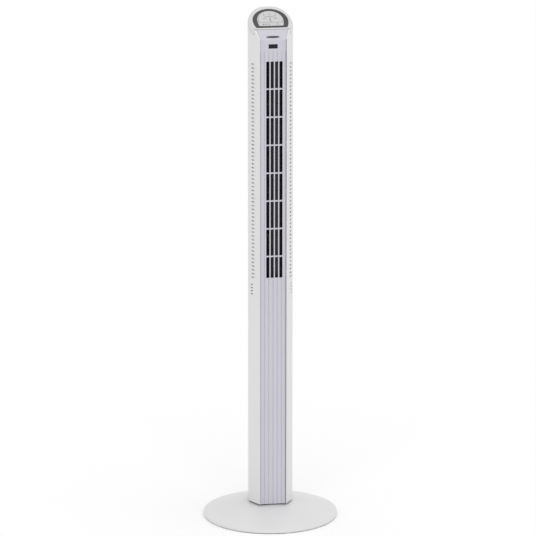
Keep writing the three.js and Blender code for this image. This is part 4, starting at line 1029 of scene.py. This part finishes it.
def top_cap():
    """A sloping lid with a rounded edge, a skirt all round behind the lip and an opening for the frame."""
    plan = cap_plan()
    outline = [point for point, _, _ in plan]
    inward = [moved - point for moved, point in zip(offset_loop(outline, 1), outline)]

    def ring(inset, height):
        spots = []
        for (point, radius, skirt), way in zip(plan, inward):
            spot = point + way * inset(radius)
            spots.append(Vector((spot.x, spot.y, head_z(spot.y) + height(radius, skirt))))
        return spots

    rings = [
        ring(lambda r: min(WALL, r * 1.4), lambda r, s: -s),
        ring(lambda r: 0.3, lambda r, s: -s),
        ring(lambda r: 0, lambda r, s: 0.3 - s),
    ]
    for angle in range(0, 91, 9):
        rings.append(ring(lambda r: rounding(r, angle)[0], lambda r, s: -rounding(r, angle)[1]))
    shape = Shape()
    placed = shape.loft(rings)
    top_loop = [Vector(point[:2]) for point in rings[-1]]
    hole = cap_opening()
    points, faces = triangulated(top_loop, [hole], [])
    top = []
    for point in points:
        nearest = min(range(len(top_loop)), key=lambda i: (top_loop[i] - point).length)
        if (top_loop[nearest] - point).length < 0.01:
            top.append(placed[-1][nearest])
        else:
            top.append(shape.add([(point.x, point.y, head_z(point.y))])[0])
    under = shape.add([(point.x, point.y, head_z(point.y) - CAP_PLATE) for point in points])
    oriented = [face if area([points[i] for i in face]) > 0 else face[::-1] for face in faces]
    shape.faces.extend(tuple(top[i] for i in face) for face in oriented)
    shape.faces.extend(tuple(under[i] for i in reversed(face)) for face in oriented)
    hole_loop = min(boundary_loops(oriented), key=lambda loop: abs(area([points[i] for i in loop])))
    shape.bridge([under[i] for i in hole_loop], [top[i] for i in hole_loop])
    under_rim = [
        under[min(range(len(points)), key=lambda k: (points[k] - point).length)] for point in top_loop
    ]
    inner = shape.add(ring(lambda r: min(WALL, r * 1.4) + 0.01, lambda r, s: -max(s - 2, CAP_PLATE)))
    shape.bridge(placed[0], inner)
    shape.bridge(inner, under_rim)
    return shape


# the cap is white plastic; its darker finish paints in the shade that falls on the sloping head
piece("top_cap_shell", top_cap(), "white_plastic", "column", ["top_cap"], sharp=45, finish="shaded_cap_plastic")


# ---- control panel and keys
KEY_BOUND = offset_loop(OPENING_OUTLINE, KEY_MARGIN)
KEY_CENTRE = (14, 31)
KEY_REACH = 40.0
KEY_BLEND = 2.2  # rounding of the keys' corners
LIGHT_UP = 13.4
LIGHT_HOLE = 1.5
MARK_WIDTH = 0.6
HAND_WIDTH = 0.55
MARK_DEPTH = 0.3
MARK_OUT = BUTTON_PROUD + 0.06
SPEED_MARK = (-12, 33)
SPEED_MARK_SPREAD = 1.9
TIMER_MARK = (12, 33)


def smooth_max(a, b, blend):
    h = max(blend - abs(a - b), 0) / blend
    return max(a, b) + h * h * blend / 4


def key_loop(side, grow):
    """The outline of a side key: its edge on the D, the row line, the middle rib and the power key."""
    centre = Vector((side * KEY_CENTRE[0], KEY_CENTRE[1]))
    reach = (POWER_SIZE[0] + BUTTON_RIB, POWER_SIZE[1] + BUTTON_RIB)

    def outside(point):
        x = point.x * side
        shift = point - Vector(POWER_CENTRE)
        scaled = math.hypot(shift.x / reach[0], shift.y / reach[1])
        oval_gap = (1 - scaled) * shift.length / max(scaled, 1e-6)
        bounds = (loop_distance(point, KEY_BOUND), KEY_ROW - point.y, BUTTON_RIB / 2 - x, oval_gap)
        worst = bounds[0]
        for bound in bounds[1:]:
            worst = smooth_max(worst, bound, KEY_BLEND)
        return worst - grow

    loop = []
    for i in range(96):
        angle = 2 * math.pi * i / 96
        way = Vector((math.cos(angle), math.sin(angle)))
        near, far = 0.0, KEY_REACH
        for _ in range(24):
            middle = (near + far) / 2
            if outside(centre + way * middle) < 0:
                near = middle
            else:
                far = middle
        loop.append(centre + way * near)
    return loop


def key(loop, crown):
    """A key cap with rounded edges and a slightly crowned face."""
    loop = anticlockwise(loop)
    centre = sum(loop, Vector((0, 0))) / len(loop)
    reach = max((p - centre).length for p in loop)

    def place(u, v, depth):
        away = (Vector((u, v)) - centre).length / reach
        return on_head(u, v, BUTTON_PROUD - crown * away * away - depth)

    lines = []
    for share in (0.75, 0.5, 0.25):
        inner = [centre + (p - centre) * share for p in loop[::2]]
        lines.append(inner + inner[:1])
    return plate(loop, [], place, BUTTON_HEIGHT - crown, 0.7, lines)


POWER_LOOP = oval(POWER_CENTRE, POWER_SIZE)
piece("power_key", key(POWER_LOOP, 0.35), "membrane_plastic", "power_button", ["power_button"])
piece("speed_key", key(key_loop(-1, 0), 0.3), "membrane_plastic", "speed_button", ["speed_button"])
piece("timer_key", key(key_loop(1, 0), 0.3), "membrane_plastic", "timer_button", ["timer_button"])

LIGHTS = [sum(span(f"indicator_light_{i}"), Vector()) / 2 for i in (1, 2, 3, 4)]


def control_panel():
    outline = offset_loop(OPENING_OUTLINE, GAP)
    holes = [
        oval(POWER_CENTRE, (POWER_SIZE[0] + SLIDE_GAP, POWER_SIZE[1] + SLIDE_GAP)),
        key_loop(-1, SLIDE_GAP),
        key_loop(1, SLIDE_GAP),
    ]
    holes += [oval((light.x, LIGHT_UP), (LIGHT_HOLE, LIGHT_HOLE), 20) for light in LIGHTS]
    return plate(outline, holes, lambda u, v, depth: on_head(u, v, -PANEL_SUNK - depth), WALL - 0.2, 0.25)


piece("control_panel_plate", control_panel(), "membrane_plastic", "column", ["control_panel"])

for number, light in enumerate(LIGHTS, 1):
    lens_rings = []
    for radius, out in ((1.15, -3), (1.15, 0), (0.95, 0.18), (0.5, 0.26), (0.1, 0.28)):
        circle = oval((light.x, LIGHT_UP), (radius, radius), 24)
        lens_rings.append([on_head(u, v, out) for u, v in circle])
    node_name = f"indicator_light_{number}"
    piece(f"indicator_lens_{number}", solid(lens_rings), "smoked_lens", "column", [node_name])


def stroke(points, width=MARK_WIDTH):
    """A thin open line printed on a key, drawn through plan points."""
    points = [Vector(point) for point in points]
    rings = []
    for i, point in enumerate(points):
        way = (points[min(i + 1, len(points) - 1)] - points[max(i - 1, 0)]).normalized()
        side = Vector((-way.y, way.x)) * width / 2
        rings.append([
            on_head(*(point - side), MARK_OUT - MARK_DEPTH),
            on_head(*(point + side), MARK_OUT - MARK_DEPTH),
            on_head(*(point + side), MARK_OUT),
            on_head(*(point - side), MARK_OUT),
        ])
    return solid(rings)


def fan_blade(angle):
    """One curved blade of the speed key's mark; angle in degrees."""
    a = math.radians(angle)
    x, up = SPEED_MARK
    hub = (x + SPEED_MARK_SPREAD * math.cos(a), up + SPEED_MARK_SPREAD * math.sin(a))
    return stroke(arc(hub, 1.7, angle - 150, angle + 40, 12))


def timer_hand(across, up):
    return stroke([TIMER_MARK, (TIMER_MARK[0] + across, TIMER_MARK[1] + up)], HAND_WIDTH)


MARKS = {
    "power": [stroke(arc(POWER_CENTRE, 2.6, 125, 415, 28)), stroke([(0, 48.4), (0, 51.4)])],
    "speed": [fan_blade(angle) for angle in (90, 210, 330)],
    "timer": [stroke(arc(TIMER_MARK, 3.0, 0, 350, 35)), timer_hand(0, 2.2), timer_hand(1.6, 0)],
}
for key_name, strokes in MARKS.items():
    body = f"{key_name}_button"
    piece(f"{key_name}_mark", merged(strokes), "dark_grey_plastic", body, finish="printed_mark")


# ---- impeller
def impeller():
    """A cross-flow drum: curved blades between end discs and thin dividing discs."""
    low, high = span("impeller")
    centre = Vector((0, (low.y + high.y) / 2))
    radius = high.x
    blades, blade_depth, blade_thickness, blade_sweep = 34, 8, 0.9, 0.26
    divisions, disc = 6, 2
    pin_top, pin_radius = high.z, 3
    top = OUTLET_TOP + 2
    bottom = low.z
    parts = []
    for i in range(blades):
        turn = 2 * math.pi * i / blades
        outer, inner = [], []
        for k in range(5):
            share = k / 4
            r = radius - 1 - blade_depth * (1 - share)
            angle = turn + blade_sweep * share * share
            for offset, line in ((0, outer), (blade_thickness / r, inner)):
                line.append(centre + Vector((math.cos(angle + offset), math.sin(angle + offset))) * r)
        loop = outer + inner[::-1]
        parts.append(solid([[Vector((*p, z)) for p in loop] for z in (bottom + 1, top - 1)]))
    for i in range(divisions):
        z = bottom + (top - disc - bottom) * i / (divisions - 1)
        bore = 5 if i in (0, divisions - 1) else radius - blade_depth - 3
        parts.append(lathe(rectangle((bore, z), (radius, z + disc)), 64, (*centre, 0)))
    pin = lathe([
        (0, top - 4), (pin_radius, top - 4), (pin_radius, pin_top - 0.5),
        (pin_radius - 0.5, pin_top), (0, pin_top),
    ], 24, (*centre, 0))
    hub = lathe(rectangle((3.4, bottom + 2), (9, bottom + 14)), 32, (*centre, 0))
    return merged([*parts, pin, hub])


piece("impeller_drum", impeller(), "black_plastic", "impeller", ["impeller"])


# ---- fasteners and feet
FOOT_RADIUS = 9
FOOT_PAD = 2.7


def cross(size, arm):
    """The driver's cross in a screw head."""
    return [
        (arm, arm), (arm, size), (-arm, size), (-arm, arm), (-size, arm), (-size, -arm),
        (-arm, -arm), (-arm, -size), (arm, -size), (arm, -arm), (size, -arm), (size, arm),
    ]


def rear_screw(number):
    low, high = span(f"rear_screw_{number}")
    x, z = (low.x + high.x) / 2, (low.z + high.z) / 2

    def place(u, v, depth):
        crown = 0.5 * (1 - (u * u + v * v) / 10.3)
        return Vector((x - u, high.y - 0.5 + crown - depth, z + v))

    head = plate(oval((0, 0), (SCREW_HEAD, SCREW_HEAD), 32), [cross(1.7, 0.4)], place, 1.1, 0.15)
    shank = oval((0, 0), (1.9, 1.9), 20)
    ends = (low.y, high.y - 1.4)
    return merged([head, solid([[Vector((x + u, y, z + v)) for u, v in shank] for y in ends])])


for number in (1, 2, 3, 4):
    node_name = f"rear_screw_{number}"
    piece(f"rear_screw_head_{number}", rear_screw(number), "zinc_steel", "column", [node_name])

for number in range(1, 6):
    low, high = span(f"rubber_foot_{number}")
    centre = (low + high) / 2
    foot = lathe([
        (0, 0), (FOOT_RADIUS - 1.2, 0), (FOOT_RADIUS - 0.4, 0.3), (FOOT_RADIUS, 1), (FOOT_RADIUS, 2.5),
        (FOOT_RADIUS - 0.3, FOOT_PAD), (4, FOOT_PAD), (4, high.z), (0, high.z),
    ], 48, (centre.x, centre.y, 0))
    piece(f"foot_pad_{number}", foot, "black_rubber", "base", [f"rubber_foot_{number}"])


# ---- carried-over CAD nodes
SLOT_OF = {row["node"]: row["material_slot"] for row in frame["record"]["subparts"]}
for name, node in frame["nodes"].items():
    for material_slot in node.material_slots:
        material_slot.material = MATERIALS[SLOT_OF[name]]


# ---- floor, light and camera
def floor():
    mesh = bpy.data.meshes.new("floor")
    working = bmesh.new()
    bmesh.ops.create_grid(working, x_segments=8, y_segments=8, size=30)
    working.to_mesh(mesh)
    working.free()
    material, tree, shader = node_material("floor_paint", (0.93, 0.93, 0.93), 0.9)
    vary_roughness(tree, shader, noise(tree, 2), 0.85, 0.95)
    mesh.materials.append(material)
    linked("floor", mesh)


def soft_sun(name, azimuth, height, width, strength):
    """An even light from far off; azimuth is measured from the front, both in degrees."""
    light = bpy.data.lights.new(name, "SUN")
    light.energy = strength
    light.angle = math.radians(width)
    a, e = math.radians(azimuth), math.radians(height)
    back = Vector((math.sin(a) * math.cos(e), -math.cos(a) * math.cos(e), math.sin(e)))
    linked(name, light).rotation_euler = (-back).to_track_quat("-Z", "Y").to_euler()


floor()
soft_sun("key_light", -12, 38, 50, 0.52)
soft_sun("top_light", 60, 62, 60, 0.3)

world = bpy.data.worlds.new("studio")
world.use_nodes = True
set_inputs(world.node_tree.nodes["Background"], {"Color": (1, 1, 1, 1), "Strength": 0.9})
bpy.context.scene.world = world
bpy.context.scene.view_settings.view_transform = "Standard"

CAMERA_AZIMUTH = math.radians(-8.5)
CAMERA_DISTANCE = 8.8887  # from the swing axis, level
CAMERA_HEIGHT = 2.8769
CAMERA_PITCH = 0.251318  # below the level
CAMERA_SIDESTEP = -0.0055
CAMERA_LENS = 266.8

camera_data = bpy.data.cameras.new("camera")
camera_data.lens = CAMERA_LENS
camera_data.sensor_width = 36
camera_data.clip_end = 100
camera = linked("camera", camera_data)
camera.location = (
    CAMERA_DISTANCE * math.sin(CAMERA_AZIMUTH) + CAMERA_SIDESTEP * math.cos(CAMERA_AZIMUTH),
    -CAMERA_DISTANCE * math.cos(CAMERA_AZIMUTH) + CAMERA_SIDESTEP * math.sin(CAMERA_AZIMUTH),
    CAMERA_HEIGHT,
)
camera.rotation_euler = (math.pi / 2 - CAMERA_PITCH, 0, CAMERA_AZIMUTH)
bpy.context.scene.camera = camera
